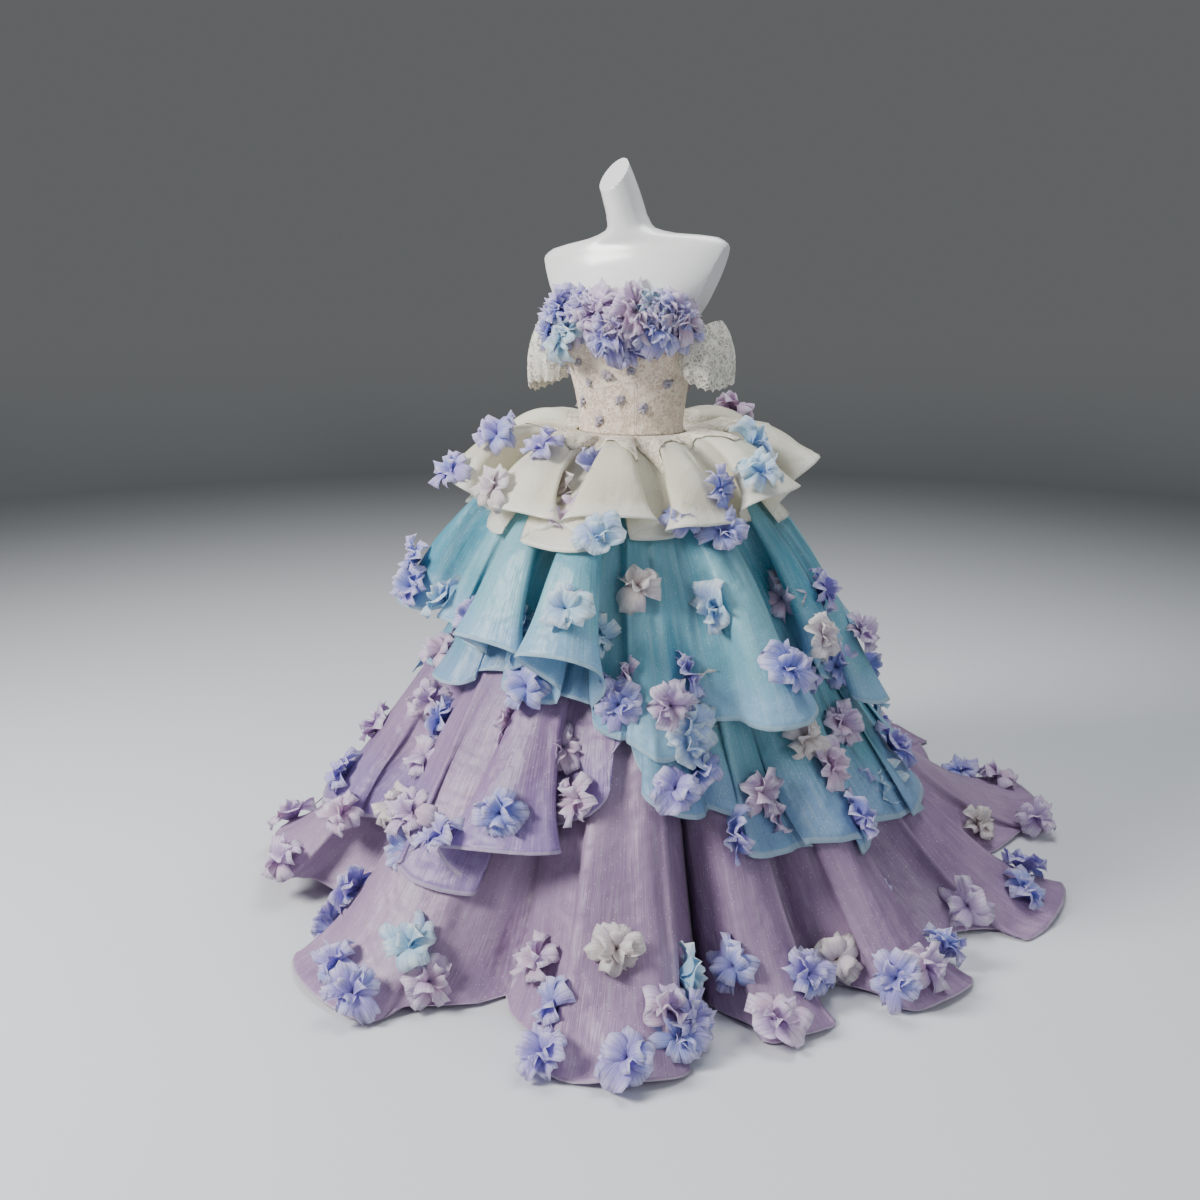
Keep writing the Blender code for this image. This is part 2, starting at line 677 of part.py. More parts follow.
TIERS = dict(
    skirt=SKIRT,
    lilac_upper=LILAC_UPPER,
    aqua_lower=AQUA_LOWER,
    aqua_upper=AQUA_UPPER,
    peplum=PEPLUM,
)
under = {name: outer_tree(panels) for name, panels in layers.items()}
under["bodice"] = outer_tree(bodice)
for bloom in BLOOMS:
    if bloom.layer == "bodice":
        point = bodice_point(bloom.across, bloom.down)
        normal = Vector((point.x, point.y, 0.02)).normalized()
    else:
        point = tier_point(TIERS[bloom.layer], bloom.across, bloom.down)
        normal = square_to(TIERS[bloom.layer], bloom.across, bloom.down)
        point = on_top(under[bloom.layer], point, normal)
    gap = stand_off(under[bloom.layer], point, normal, bloom.size)
    flower(bloom, point + normal * gap, normal)
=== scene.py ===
# %% [markdown]
# # A ball gown of fluted organza tiers on a white dress form
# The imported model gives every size. Each cell below makes one piece of the gown or one
# finish, in the order a maker would dress the form: form, corset, arm loops, then the skirt's
# tiers from the floor up, the lace over the waist and last the fabric flowers.

import math
import random
from collections import namedtuple

import bmesh
import bpy
import numpy as np
from mathutils import Matrix, Vector
from mathutils.bvhtree import BVHTree


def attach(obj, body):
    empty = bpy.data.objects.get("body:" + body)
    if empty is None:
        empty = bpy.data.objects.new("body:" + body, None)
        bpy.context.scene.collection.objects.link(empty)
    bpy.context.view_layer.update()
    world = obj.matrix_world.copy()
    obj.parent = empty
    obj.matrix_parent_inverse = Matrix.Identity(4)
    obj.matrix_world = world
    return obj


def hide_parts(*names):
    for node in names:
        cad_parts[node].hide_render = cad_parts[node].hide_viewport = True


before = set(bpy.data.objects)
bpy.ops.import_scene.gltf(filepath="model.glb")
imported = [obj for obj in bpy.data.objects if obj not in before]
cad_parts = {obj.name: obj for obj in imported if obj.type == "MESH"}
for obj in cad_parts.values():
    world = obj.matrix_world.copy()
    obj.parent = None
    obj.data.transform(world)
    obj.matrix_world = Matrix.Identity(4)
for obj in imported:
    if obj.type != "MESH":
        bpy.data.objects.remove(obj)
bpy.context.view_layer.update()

# %% [markdown]
# ## Camera, floor and light
# The gown stands in a plain studio. The camera looks from the wearer's left front, a little
# down. The floor and wall could be two planes, but their joint would show as a hard line, so
# one profile is spun into a bowl with a rounded foot. Light comes from one large soft lamp at
# the upper left, a weaker one from the right, and a dim grey world. The floor's colour is
# painted lighter round the gown as a painted pool of light, and the wall glows an even grey.

# %% Camera
CAMERA_TURN, CAMERA_FAR, CAMERA_HIGH = math.radians(25.0), 2.8, 1.4
CAMERA_DOWN, CAMERA_ASIDE = math.radians(14.8), math.radians(1.41)

camera = bpy.data.objects.new("camera", bpy.data.cameras.new("camera"))
camera.data.lens, camera.data.sensor_width = 37.8, 36.0
camera.location = (
    CAMERA_FAR * math.sin(CAMERA_TURN), -CAMERA_FAR * math.cos(CAMERA_TURN), CAMERA_HIGH
)
heading = CAMERA_TURN + CAMERA_ASIDE
looks = Vector((
    -math.sin(heading) * math.cos(CAMERA_DOWN),
    math.cos(heading) * math.cos(CAMERA_DOWN),
    -math.sin(CAMERA_DOWN),
))
camera.rotation_euler = looks.to_track_quat("-Z", "Y").to_euler()
bpy.context.scene.collection.objects.link(camera)
bpy.context.scene.camera = camera
print("camera at", [round(x, 2) for x in camera.location])


# %% Helpers for shader nodes
def node(tree, kind, settings=None, **inputs):
    """A shader node with its settings, and with inputs given as values or as sockets."""
    made = tree.nodes.new("ShaderNode" + kind)
    for key, value in (settings or {}).items():
        setattr(made, key, value)
    for key, value in inputs.items():
        join(tree, value, made.inputs[key.replace("_", " ")])
    return made


def join(tree, value, socket):
    """Feeds a socket from another socket, or with a plain value."""
    if isinstance(value, bpy.types.NodeSocket):
        tree.links.new(value, socket)
    else:
        socket.default_value = value


def sum_of(tree, kind, first, second=0.0, third=0.0):
    """The output of a Math node."""
    made = node(tree, "Math", {"operation": kind})
    for value, socket in zip((first, second, third), made.inputs):
        join(tree, value, socket)
    return made.outputs[0]


def mixed(tree, share, first, second, kind="MIX"):
    """The output of a colour Mix node."""
    made = node(tree, "Mix", {"data_type": "RGBA", "blend_type": kind})
    colours = ((*c, 1.0) if isinstance(c, tuple) and len(c) == 3 else c for c in (first, second))
    for value, socket in zip((share, *colours), (made.inputs[0], made.inputs[6], made.inputs[7])):
        join(tree, value, socket)
    return made.outputs[2]


def eased(tree, value, low, high, start=0.0, end=1.0):
    """A value moved smoothly from one range to another."""
    made = node(
        tree, "MapRange", {"interpolation_type": "SMOOTHSTEP"},
        Value=value, From_Min=low, From_Max=high, To_Min=start, To_Max=end,
    )
    return made.outputs[0]


def cloudy(tree, where, scale, detail=3.0, rough=0.5):
    """A soft noise pattern's value."""
    return node(
        tree, "TexNoise", Vector=where, Scale=scale, Detail=detail, Roughness=rough
    ).outputs[0]


def stretched(tree, where, x, y, z=1.0):
    """Coordinates scaled by a different amount each way."""
    return node(tree, "Mapping", Vector=where, Scale=(x, y, z)).outputs[0]


def lets_light_through(tree, face, colour, bump, through, out):
    """Mixes a share of translucent cloth into a shader, and ends the finish with it."""
    glow = node(tree, "BsdfTranslucent", Color=colour, Normal=bump)
    both = node(tree, "MixShader")
    both.inputs[0].default_value = through
    for made, socket in zip((face, glow, both), (both.inputs[1], both.inputs[2], out.inputs[0])):
        join(tree, made.outputs[0], socket)


def new_finish(name):
    """An empty node material, its tree and its output node."""
    made = bpy.data.materials.new(name)
    made.use_nodes = True
    tree = made.node_tree
    tree.nodes.clear()
    return made, tree, node(tree, "OutputMaterial")


# %% Helpers for pieces
LACE_WALL, ORGANZA_WALL, SKIRT_WALL, PETAL_WALL, SPRIG_WALL = 0.0008, 0.0012, 0.0014, 0.0004, 0.0003


def piece(name, bm, finish, nodes=(), smooth=True):
    """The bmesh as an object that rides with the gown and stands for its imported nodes."""
    mesh = bpy.data.meshes.new(name)
    bm.to_mesh(mesh)
    bm.free()
    for face in mesh.polygons:
        face.use_smooth = smooth
    mesh.materials.append(finish)
    made = bpy.data.objects.new(name, mesh)
    bpy.context.scene.collection.objects.link(made)
    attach(made, "root")
    if nodes:
        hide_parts(*nodes)
    return made


def thicken(made, thickness):
    """A wall's thickness, going in from the outer side."""
    wall = made.modifiers.new("wall", "SOLIDIFY")
    wall.thickness, wall.offset = thickness, -1.0
    return made


# %% Floor, wall and lamps
WALL_GLOW = 0.130
studio, tree, out = new_finish("studio_paint_and_painted_light")
where = node(tree, "TexCoord").outputs["Object"]
high = node(tree, "SeparateXYZ", Vector=where).outputs[2]
flat = node(tree, "VectorMath", {"operation": "MULTIPLY"})
for value, socket in zip((where, (1.0, 1.0, 0.0)), flat.inputs):
    join(tree, value, socket)
away = node(tree, "VectorMath", {"operation": "LENGTH"})
join(tree, flat.outputs[0], away.inputs[0])
# The floor is painted lighter round the gown and darker further out: a painted pool of light. Higher up it
# takes the wall's grey, and soft noise varies its tone.
floor_with_painted_light = mixed(tree, eased(tree, away.outputs["Value"], 1.2, 6.4), (0.66, 0.68, 0.71), (0.18, 0.188, 0.192))
floor_with_painted_light = mixed(tree, eased(tree, high, 0.0, 1.0), floor_with_painted_light, (0.185, 0.194, 0.195))
floor_with_painted_light = mixed(tree, sum_of(tree, "MULTIPLY", cloudy(tree, where, 0.8, 0.0), 0.12), floor_with_painted_light,
              (0.4, 0.42, 0.44))
skin = node(tree, "BsdfPrincipled", Base_Color=floor_with_painted_light, Roughness=0.75)
# The wall is a painted glow: it shines an even grey of its own and throws no light on, which keeps the
# render short.
wall_glow = node(tree, "Emission", Color=(0.94, 0.985, 1.0, 1.0), Strength=WALL_GLOW)
backdrop = node(tree, "MixShader", Fac=eased(tree, high, 0.05, 0.9))
join(tree, skin.outputs[0], backdrop.inputs[1])
join(tree, wall_glow.outputs[0], backdrop.inputs[2])
join(tree, backdrop.outputs[0], out.inputs[0])
studio.cycles.emission_sampling = "NONE"

bm = bmesh.new()
foot = [(0.0, 0.0), (6.2, 0.0)]
foot += [(6.2 + 1.4 * math.sin(a), 1.4 - 1.4 * math.cos(a)) for a in np.linspace(0.1, math.pi / 2, 9)]
foot += [(7.6, 5.0)]
corners = [bm.verts.new((radius, 0.0, level)) for radius, level in foot]
rim = [bm.edges.new(pair) for pair in zip(corners, corners[1:])]
bmesh.ops.spin(bm, geom=corners + rim, cent=(0, 0, 0), axis=(0, 0, 1), angle=math.tau,
               steps=96, use_merge=True)
bmesh.ops.remove_doubles(bm, verts=bm.verts, dist=1e-5)
mesh = bpy.data.meshes.new("studio")
bm.to_mesh(mesh)
bm.free()
for face in mesh.polygons:
    face.use_smooth = True
mesh.materials.append(studio)
bowl = bpy.data.objects.new("studio", mesh)
bpy.context.scene.collection.objects.link(bowl)


def lamp(name, place, aim, size, watts, colour):
    """A square soft lamp turned towards a point."""
    made = bpy.data.objects.new(name, bpy.data.lights.new(name, "AREA"))
    made.data.size, made.data.energy, made.data.color = size, watts, colour
    made.location = place
    made.rotation_euler = (Vector(aim) - Vector(place)).to_track_quat("-Z", "Y").to_euler()
    bpy.context.scene.collection.objects.link(made)


lamp("key", (-2.5, -3.1, 3.3), (0.0, 0.0, 0.8), 1.5, 350.0, (1.0, 0.985, 0.96))
lamp("fill", (3.4, -1.6, 2.2), (0.0, 0.0, 0.8), 2.4, 34.0, (0.90, 0.95, 1.0))
lamp("top", (0.3, 0.8, 4.2), (0.0, 0.1, 0.6), 2.2, 110.0, (0.96, 0.98, 1.0))
world = bpy.data.worlds.new("studio_air")
world.use_nodes = True
world.node_tree.nodes["Background"].inputs[0].default_value = (0.80, 0.84, 0.90, 1.0)
world.node_tree.nodes["Background"].inputs[1].default_value = 0.36
bpy.context.scene.world = world
print("studio", len(bowl.data.polygons), "faces")

# %% [markdown]
# ## Finishes
# Organza is thin plain-woven cloth with a dry crinkle that runs down its length, a silky
# sheen, and here a scatter of glitter. An image texture could give that, but a pattern of
# nodes stays sharp at any distance. The patterns read the cloth's own map, whose units are
# metres, so the crinkle follows every flute. Light also passes through, so a share of the
# shader is translucent. Some light is painted into the colour too: pale streaks on the crinkle
# as painted sheen, white glints on the glitter, and a painted highlight along the hem.


# %% Organza
def organza(name, light, deep, tint, tint_high, specks, roughness=0.46, through=0.36):
    """Crinkled organza. tint colours the cloth near its hem, up to tint_high metres above it."""
    made, tree, out = new_finish(name)
    cloth = node(tree, "UVMap", {"uv_map": "Cloth"}).outputs[0]
    solid = node(tree, "TexCoord").outputs["Object"]
    up = node(tree, "SeparateXYZ", Vector=cloth).outputs[1]
    crinkle = cloudy(tree, stretched(tree, cloth, 300.0, 11.0), 1.0, 1.0, 0.6)
    threads = cloudy(tree, stretched(tree, cloth, 1100.0, 260.0), 1.0, 0.0)
    drawn = cloudy(tree, stretched(tree, cloth, 26.0, 2.2), 1.0, 1.0)
    shade = cloudy(tree, solid, 3.4, 1.0, 0.55)
    colour = mixed(tree, eased(tree, shade, 0.36, 0.66), light, deep)
    near_hem = sum_of(
        tree, "ADD", eased(tree, up, tint_high, 0.01),
        sum_of(tree, "MULTIPLY", sum_of(tree, "SUBTRACT", shade, 0.5), 0.9),
    )
    near_hem = sum_of(tree, "MULTIPLY", eased(tree, near_hem, 0.25, 1.1), 0.75)
    colour = mixed(tree, near_hem, colour, tint)
    # Pale streaks along the crinkle and the long drawn lines: partly the cloth's own streaky weave, partly
    # painted sheen on the crinkle's ridges, which the bump also raises.
    streaks_and_sheen = sum_of(tree, "ADD", eased(tree, crinkle, 0.44, 0.70, 0.0, 0.22),
                     eased(tree, drawn, 0.46, 0.66, 0.0, 0.12))
    highlight_pale = tuple(min(1.0, 0.45 * c + 0.55) for c in light)
    colour = mixed(tree, streaks_and_sheen, colour, highlight_pale)
    colour = mixed(tree, eased(tree, threads, 0.50, 0.34, 0.0, 0.26), colour,
                   tuple(0.7 * c for c in deep))
    # White specks: the glitter, painted white as glints, and made smoother there.
    glitter_glints = node(tree, "TexVoronoi", Vector=solid, Scale=125.0, Randomness=1.0).outputs["Distance"]
    colour = mixed(tree, eased(tree, glitter_glints, 0.13, 0.09, 0.0, 0.8), colour, (1.0, 1.0, 1.0))
    if specks:
        dust = node(tree, "TexVoronoi", Vector=solid, Scale=47.0).outputs["Distance"]
        colour = mixed(tree, eased(tree, dust, 0.075, 0.05, 0.0, 0.7), colour, specks)
    # A pale band along the hem: partly the rolled, doubled cloth, partly a painted highlight on the hem's
    # edge.
    edge = eased(tree, up, 0.0075, 0.0045)
    colour = mixed(tree, sum_of(tree, "MULTIPLY", edge, 0.55), colour, highlight_pale)
    crumple = cloudy(tree, solid, 15.0, 2.0, 0.60)
    relief = sum_of(tree, "MULTIPLY_ADD", crinkle, 0.09, crumple)
    bump = node(tree, "Bump", Strength=0.50, Distance=0.020, Height=relief).outputs[0]
    gloss = eased(tree, glitter_glints, 0.05, 0.10, 0.18, roughness)
    face = node(tree, "BsdfPrincipled", Base_Color=colour, Roughness=gloss, Normal=bump,
                Sheen_Weight=0.14, Sheen_Roughness=0.30, Specular_IOR_Level=0.55)
    lets_light_through(tree, face, colour, bump, through, out)
    return made


LILAC_CLOTH = organza("lilac_organza", (0.52, 0.36, 0.55), (0.38, 0.24, 0.43),
                      (0.46, 0.30, 0.52), 0.30, (0.16, 0.10, 0.17), 0.40)
PLUM_CLOTH = organza("plum_organza", (0.52, 0.35, 0.57), (0.33, 0.20, 0.42),
                     (0.36, 0.26, 0.60), 0.22, (0.16, 0.10, 0.17), 0.40)
AQUA_CLOTH = organza("aqua_organza", (0.24, 0.58, 0.68), (0.09, 0.36, 0.47),
                     (0.34, 0.50, 0.80), 0.18, None, 0.38)
SKY_CLOTH = organza("sky_organza", (0.29, 0.64, 0.74), (0.11, 0.42, 0.56),
                    (0.38, 0.60, 0.86), 0.12, None, 0.38)
CREAM_CLOTH = organza("ivory_organza", (0.97, 0.95, 0.84), (0.90, 0.86, 0.71),
                      (0.98, 0.96, 0.88), 0.05, None, 0.40, 0.45)
print("organza finishes", 5)


# %% [markdown]
# ## Lace, petals, lacquer and steel
# The corset's lace is a corded one: thick yarn wandering over a fine net. Two Voronoi cell
# patterns, bent by noise, give cords and net. The same pattern with holes in it makes the
# sheer lace of the arm loops and of the edge below the waist. Petals are lighter towards
# their rim and carry fine veins that fan out from the base, read from each petal's own map.


# %% Corded lace
def lace(name, ground, yarn, shadow, cover):
    """Corded lace. cover is how solid its ground is: 1 is lined, less is sheer."""
    made, tree, out = new_finish(name)
    solid = node(tree, "TexCoord").outputs["Object"]
    drift = node(tree, "TexNoise", Vector=solid, Scale=38.0, Detail=2.0).outputs["Color"]
    bent = node(tree, "VectorMath", {"operation": "MULTIPLY_ADD"})
    for value, socket in zip((drift, (0.030, 0.030, 0.030), solid), bent.inputs):
        join(tree, value, socket)
    bent = bent.outputs[0]
    cells = {"feature": "DISTANCE_TO_EDGE"}
    cords = node(tree, "TexVoronoi", cells, Vector=bent, Scale=85.0).outputs["Distance"]
    twigs = node(tree, "TexVoronoi", cells, Vector=bent, Scale=210.0).outputs["Distance"]
    net = node(tree, "TexVoronoi", cells, Vector=solid, Scale=420.0).outputs["Distance"]
    leaves = eased(tree, cloudy(tree, bent, 46.0, 1.0), 0.52, 0.60)
    yarns = sum_of(tree, "MAXIMUM", eased(tree, cords, 0.13, 0.05),
                   sum_of(tree, "MULTIPLY", eased(tree, twigs, 0.15, 0.05), 0.8))
    yarns = sum_of(tree, "MAXIMUM", yarns, sum_of(tree, "MULTIPLY", leaves, 0.75))
    mesh_lines = eased(tree, net, 0.12, 0.04, 0.0, 0.5)
    patches = eased(tree, cloudy(tree, solid, 16.0, 2.0), 0.40, 0.62)
    colour = mixed(tree, sum_of(tree, "MULTIPLY", patches, 0.55), ground, shadow)
    colour = mixed(tree, yarns, colour, yarn)
    # Between the cords and net the lace is darkened: painted shade in the hollows under the yarn.
    hollow_shade = sum_of(tree, "SUBTRACT", 1.0, sum_of(tree, "MAXIMUM", yarns, mesh_lines))
    colour = mixed(tree, sum_of(tree, "MULTIPLY", hollow_shade, 0.35), colour,
                   tuple(0.62 * c for c in shadow))
    relief = sum_of(tree, "ADD", yarns, sum_of(tree, "MULTIPLY", mesh_lines, 0.3))
    bump = node(tree, "Bump", Strength=0.9, Distance=0.0018, Height=relief).outputs[0]
    face = node(tree, "BsdfPrincipled", Base_Color=colour, Roughness=0.72, Normal=bump,
                Sheen_Weight=0.2, Sheen_Roughness=0.5)
    if cover < 1.0:
        thread = sum_of(tree, "MAXIMUM", yarns, mesh_lines)
        join(tree, eased(tree, thread, 0.22, 0.92, cover, 0.95), face.inputs["Alpha"])
    join(tree, face.outputs[0], out.inputs[0])
    return made


CORSET_LACE = lace("corded_lace", (0.93, 0.68, 0.52), (0.96, 0.85, 0.70), (0.74, 0.54, 0.40), 1.0)
SHEER_LACE = lace("sheer_lace", (0.80, 0.75, 0.64), (0.92, 0.89, 0.79), (0.70, 0.64, 0.52), 0.08)
EDGE_LACE = lace("edge_lace", (0.80, 0.68, 0.49), (0.95, 0.88, 0.74), (0.52, 0.41, 0.27), 1.0)


# %% Petals
def petals(name, heart, body, rim, other, through=0.45):
    """Petal cloth, from its heart to its rim. other is a second body colour for some blooms."""
    made, tree, out = new_finish(name)
    own = node(tree, "UVMap", {"uv_map": "Petal"}).outputs[0]
    solid = node(tree, "TexCoord").outputs["Object"]
    along = node(tree, "SeparateXYZ", Vector=own).outputs[1]
    veins = cloudy(tree, stretched(tree, own, 26.0, 1.6), 1.0, 0.0)
    which = eased(tree, cloudy(tree, solid, 9.0, 1.0), 0.42, 0.58)
    colour = mixed(tree, which, body, other)
    colour = mixed(tree, eased(tree, along, 0.42, 0.02), colour, heart)
    colour = mixed(tree, eased(tree, along, 0.62, 1.0, 0.0, 0.85), colour, rim)
    colour = mixed(tree, eased(tree, veins, 0.50, 0.66, 0.0, 0.45), colour, rim)
    colour = mixed(tree, eased(tree, veins, 0.46, 0.32, 0.0, 0.35), colour, heart)
    bump = node(tree, "Bump", Strength=0.6, Distance=0.0015, Height=veins).outputs[0]
    face = node(tree, "BsdfPrincipled", Base_Color=colour, Roughness=0.50, Normal=bump,
                Sheen_Weight=0.2, Sheen_Roughness=0.4)
    lets_light_through(tree, face, colour, bump, through, out)
    return made


PETALS = {
    "violet": petals("violet_petals", (0.26, 0.20, 0.64), (0.50, 0.44, 0.84), (0.80, 0.77, 0.96),
                     (0.42, 0.48, 0.88)),
    "lilac": petals("lilac_petals", (0.46, 0.30, 0.62), (0.70, 0.55, 0.80), (0.90, 0.83, 0.94),
                    (0.78, 0.60, 0.76)),
    "aqua": petals("aqua_petals", (0.30, 0.56, 0.84), (0.56, 0.78, 0.91), (0.86, 0.94, 0.97),
                   (0.54, 0.66, 0.92)),
    "pearl": petals("pearl_petals", (0.60, 0.50, 0.52), (0.82, 0.75, 0.74), (0.93, 0.90, 0.88),
                    (0.82, 0.74, 0.82)),
}

# %% Lacquer and steel
LACQUER, tree, out = new_finish("white_lacquer")
solid = node(tree, "TexCoord").outputs["Object"]
ripple = cloudy(tree, solid, 5.0, 2.0)
bump = node(tree, "Bump", Strength=0.08, Distance=0.002, Height=cloudy(tree, solid, 26.0)).outputs[0]
skin = node(tree, "BsdfPrincipled", Normal=bump, Coat_Weight=0.35, Coat_Roughness=0.10,
            Base_Color=mixed(tree, eased(tree, ripple, 0.35, 0.65), (0.80, 0.80, 0.79), (0.76, 0.765, 0.76)),
            Roughness=eased(tree, ripple, 0.3, 0.7, 0.24, 0.32))
join(tree, skin.outputs[0], out.inputs[0])

STEEL, tree, out = new_finish("satin_steel")
solid = node(tree, "TexCoord").outputs["Object"]
brushed = cloudy(tree, stretched(tree, solid, 40.0, 40.0, 900.0), 1.0, 2.0)
bump = node(tree, "Bump", Strength=0.15, Distance=0.0004, Height=brushed).outputs[0]
skin = node(tree, "BsdfPrincipled", Normal=bump, Metallic=1.0,
            Base_Color=mixed(tree, brushed, (0.50, 0.51, 0.53), (0.66, 0.67, 0.69)),
            Roughness=eased(tree, brushed, 0.3, 0.7, 0.26, 0.38))
join(tree, skin.outputs[0], out.inputs[0])

for name in ("stand_base", "stand_pole"):
    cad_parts[name].data.materials.clear()
    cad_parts[name].data.materials.append(STEEL)
print("finishes", len(bpy.data.materials))

# %% [markdown]
# ## The dress form
# The form is one smooth moulded shell with no head or arms. A sculpt would do, but a table of
# level cross sections is easier to check: a sphere's rings are moved on to the sections, then
# planes cut off the arms, the neck and the bottom, and the cut holes are filled.

# %% Cross sections of the form
Section = namedtuple("Section", "level wide deep ahead")
BODY = (
    Section(0.770, 0.125, 0.090, 0.000),
    Section(0.840, 0.160, 0.113, 0.000),
    Section(0.910, 0.166, 0.118, 0.000),
    Section(0.980, 0.146, 0.106, 0.000),
    Section(1.050, 0.116, 0.089, 0.000),
    Section(1.120, 0.120, 0.092, 0.003),
    Section(1.190, 0.134, 0.101, 0.008),
    Section(1.250, 0.144, 0.112, 0.012),
    Section(1.290, 0.152, 0.109, 0.009),
    Section(1.340, 0.184, 0.100, 0.002),
    Section(1.390, 0.214, 0.084, -0.006),
    Section(1.430, 0.218, 0.070, -0.008),
    Section(1.452, 0.186, 0.062, -0.006),
    Section(1.464, 0.100, 0.057, 0.002),
    Section(1.478, 0.053, 0.052, 0.009),
    Section(1.500, 0.043, 0.050, 0.014),
    Section(1.530, 0.041, 0.049, 0.020),
    Section(1.570, 0.039, 0.046, 0.030),
    Section(1.620, 0.032, 0.043, 0.044),
    Section(1.690, 0.020, 0.036, 0.066),
)
ARM_CUT = (Vector((0.182, 0.0, 1.365)), Vector((0.917, 0.0, -0.397)))
NECK_CUT = (Vector((0.0, -0.034, 1.604)), Vector((-0.349, -0.656, 0.669)))
SHOULDER_TILT = 0.055
NECK_ROOT, NECK_LEAN = 1.480, 0.22
FORM_BOTTOM = 0.800


def smooth_between(a, b, c, d, share):
    """The curve through b and c that also heeds a and d, read at a share of the way."""
    return b + 0.5 * share * (
        c - a + share * (2 * a - 5 * b + 4 * c - d + share * (3 * (b - c) + d - a))
    )


def body_at(level):
    """Half width, half depth and forward shift of the form at a level."""
    last = len(BODY) - 1
    i = max(k for k in range(last) if k == 0 or BODY[k].level <= level)
    near = [BODY[min(max(k, 0), last)] for k in (i - 1, i, i + 1, i + 2)]
    share = min(max((level - near[1].level) / (near[2].level - near[1].level), 0.0), 1.0)
    return [
        smooth_between(*(getattr(row, column) for row in near), share)
        for column in ("wide", "deep", "ahead")
    ]


def body_point(direction, level, out=0.0):
    """A point of the form's surface, or one standing out from it."""
    wide, deep, ahead = body_at(level)
    turn = math.radians(direction)
    return Vector(
        ((wide + out) * math.sin(turn), -(deep + out) * math.cos(turn) - ahead, level)
    )


# %% The form
bm = bmesh.new()
bmesh.ops.create_uvsphere(bm, u_segments=120, v_segments=130, radius=1.0)
low, high = BODY[0].level, BODY[-1].level
for vertex in bm.verts:
    level = high + (low - high) * math.acos(max(-1.0, min(1.0, vertex.co.z))) / math.pi
    if math.hypot(vertex.co.x, vertex.co.y) < 1e-4:
        vertex.co = (0.0, 0.0, level)
        continue
    vertex.co = body_point(math.degrees(math.atan2(vertex.co.x, -vertex.co.y)), level)
    rise = min(max((level - 1.33) / 0.08, 0.0), 1.0) * (level < 1.50)
    vertex.co.z += SHOULDER_TILT * vertex.co.x * rise
    vertex.co.x -= NECK_LEAN * max(0.0, level - NECK_ROOT)
cuts = (
    ARM_CUT,
    tuple(Vector((-v.x, v.y, v.z)) for v in ARM_CUT),
    NECK_CUT,
    (Vector((0.0, 0.0, FORM_BOTTOM)), Vector((0.0, 0.0, -1.0))),
)
for point, normal in cuts:
    cut = bmesh.ops.bisect_plane(
        bm, geom=bm.verts[:] + bm.edges[:] + bm.faces[:], dist=1e-6,
        plane_co=point, plane_no=normal, clear_outer=True,
    )
    rim = [e for e in cut["geom_cut"] if isinstance(e, bmesh.types.BMEdge)]
    bmesh.ops.holes_fill(bm, edges=rim, sides=0)
bmesh.ops.recalc_face_normals(bm, faces=bm.faces)
# Blender's sphere and cuts hand back their elements in an order that changes from
# run to run, so they are numbered by place; sort() then follows those numbers.
for elements, place_of in (
    (bm.verts, lambda vertex: vertex.co),
    (bm.edges, lambda edge: edge.verts[0].co + edge.verts[1].co),
    (bm.faces, lambda face: face.calc_center_median()),
):
    ordered = sorted(elements, key=lambda item: tuple(round(c, 6) for c in place_of(item)))
    for rank, item in enumerate(ordered):
        item.index = rank
    elements.sort()
form = piece("dress_form", bm, LACQUER, ["form_torso"])
for face in form.data.polygons:
    face.use_smooth = len(face.vertices) <= 4
print("form", len(form.data.polygons), "faces")

# %% [markdown]
# ## Cloth
# Every cloth piece is a grid of small faces whose corners are moved to where a rule puts
# them, so a panel has even faces and a map in metres. A simulation would also drape, but the
# gown's flutes are set by wired hems and by hand, so they are laid one by one here too: each
# tier has a table of flutes, then a table of creases pressed in or raised along the cloth.


# %% A grid of cloth
def cloth_grid(columns, rows, place, width, drop):
    """A bmesh whose corners go where place(across, down) says, with a map in metres."""
    bm = bmesh.new()
    layer = bm.loops.layers.uv.new("Cloth")
    bmesh.ops.create_grid(bm, x_segments=columns, y_segments=rows, size=0.5)
    spots = {v: (round(v.co.x + 0.5, 6), round(0.5 - v.co.y, 6)) for v in bm.verts}
    for vertex, (across, down) in spots.items():
        vertex.co = place(across, down)
    for face in bm.faces:
        for loop in face.loops:
            across, down = spots[loop.vert]
            loop[layer].uv = (across * width, (1.0 - down) * drop)
    return bm


def cloth_area(made):
    """The area of a piece's outer side, in square metres."""
    return sum(face.area for face in made.data.polygons)


# Each piece's pattern, laid flat before it is hung: its widths at the top, half-way, at three
# quarters and at the bottom, and its length on the centre line, in metres, to the nearest
# centimetre or five. They are stated here and not read off the finished cloth, so that the two
# can differ.
Cut = namedtuple("Cut", "top middle low bottom length")
CORSET_CUTS = {
    "bodice_centre_front": Cut(0.14, 0.12, 0.115, 0.11, 0.26),
    "bodice_side_L": Cut(0.18, 0.15, 0.145, 0.14, 0.27),
    "bodice_side_R": Cut(0.18, 0.15, 0.145, 0.14, 0.27),
    "bodice_back_L": Cut(0.18, 0.15, 0.14, 0.13, 0.24),
    "bodice_back_R": Cut(0.18, 0.15, 0.14, 0.13, 0.24),
}
LOOP_CUT = Cut(0.22, 0.28, 0.31, 0.34, 0.17)
SKIRT_CUTS = (
    Cut(0.20, 0.75, 1.15, 1.75, 1.35), Cut(0.20, 0.80, 1.25, 2.00, 1.35),
    Cut(0.20, 0.70, 1.10, 1.75, 1.60), Cut(0.20, 0.70, 1.10, 1.75, 1.60),
    Cut(0.20, 0.75, 1.15, 1.80, 1.35),
)
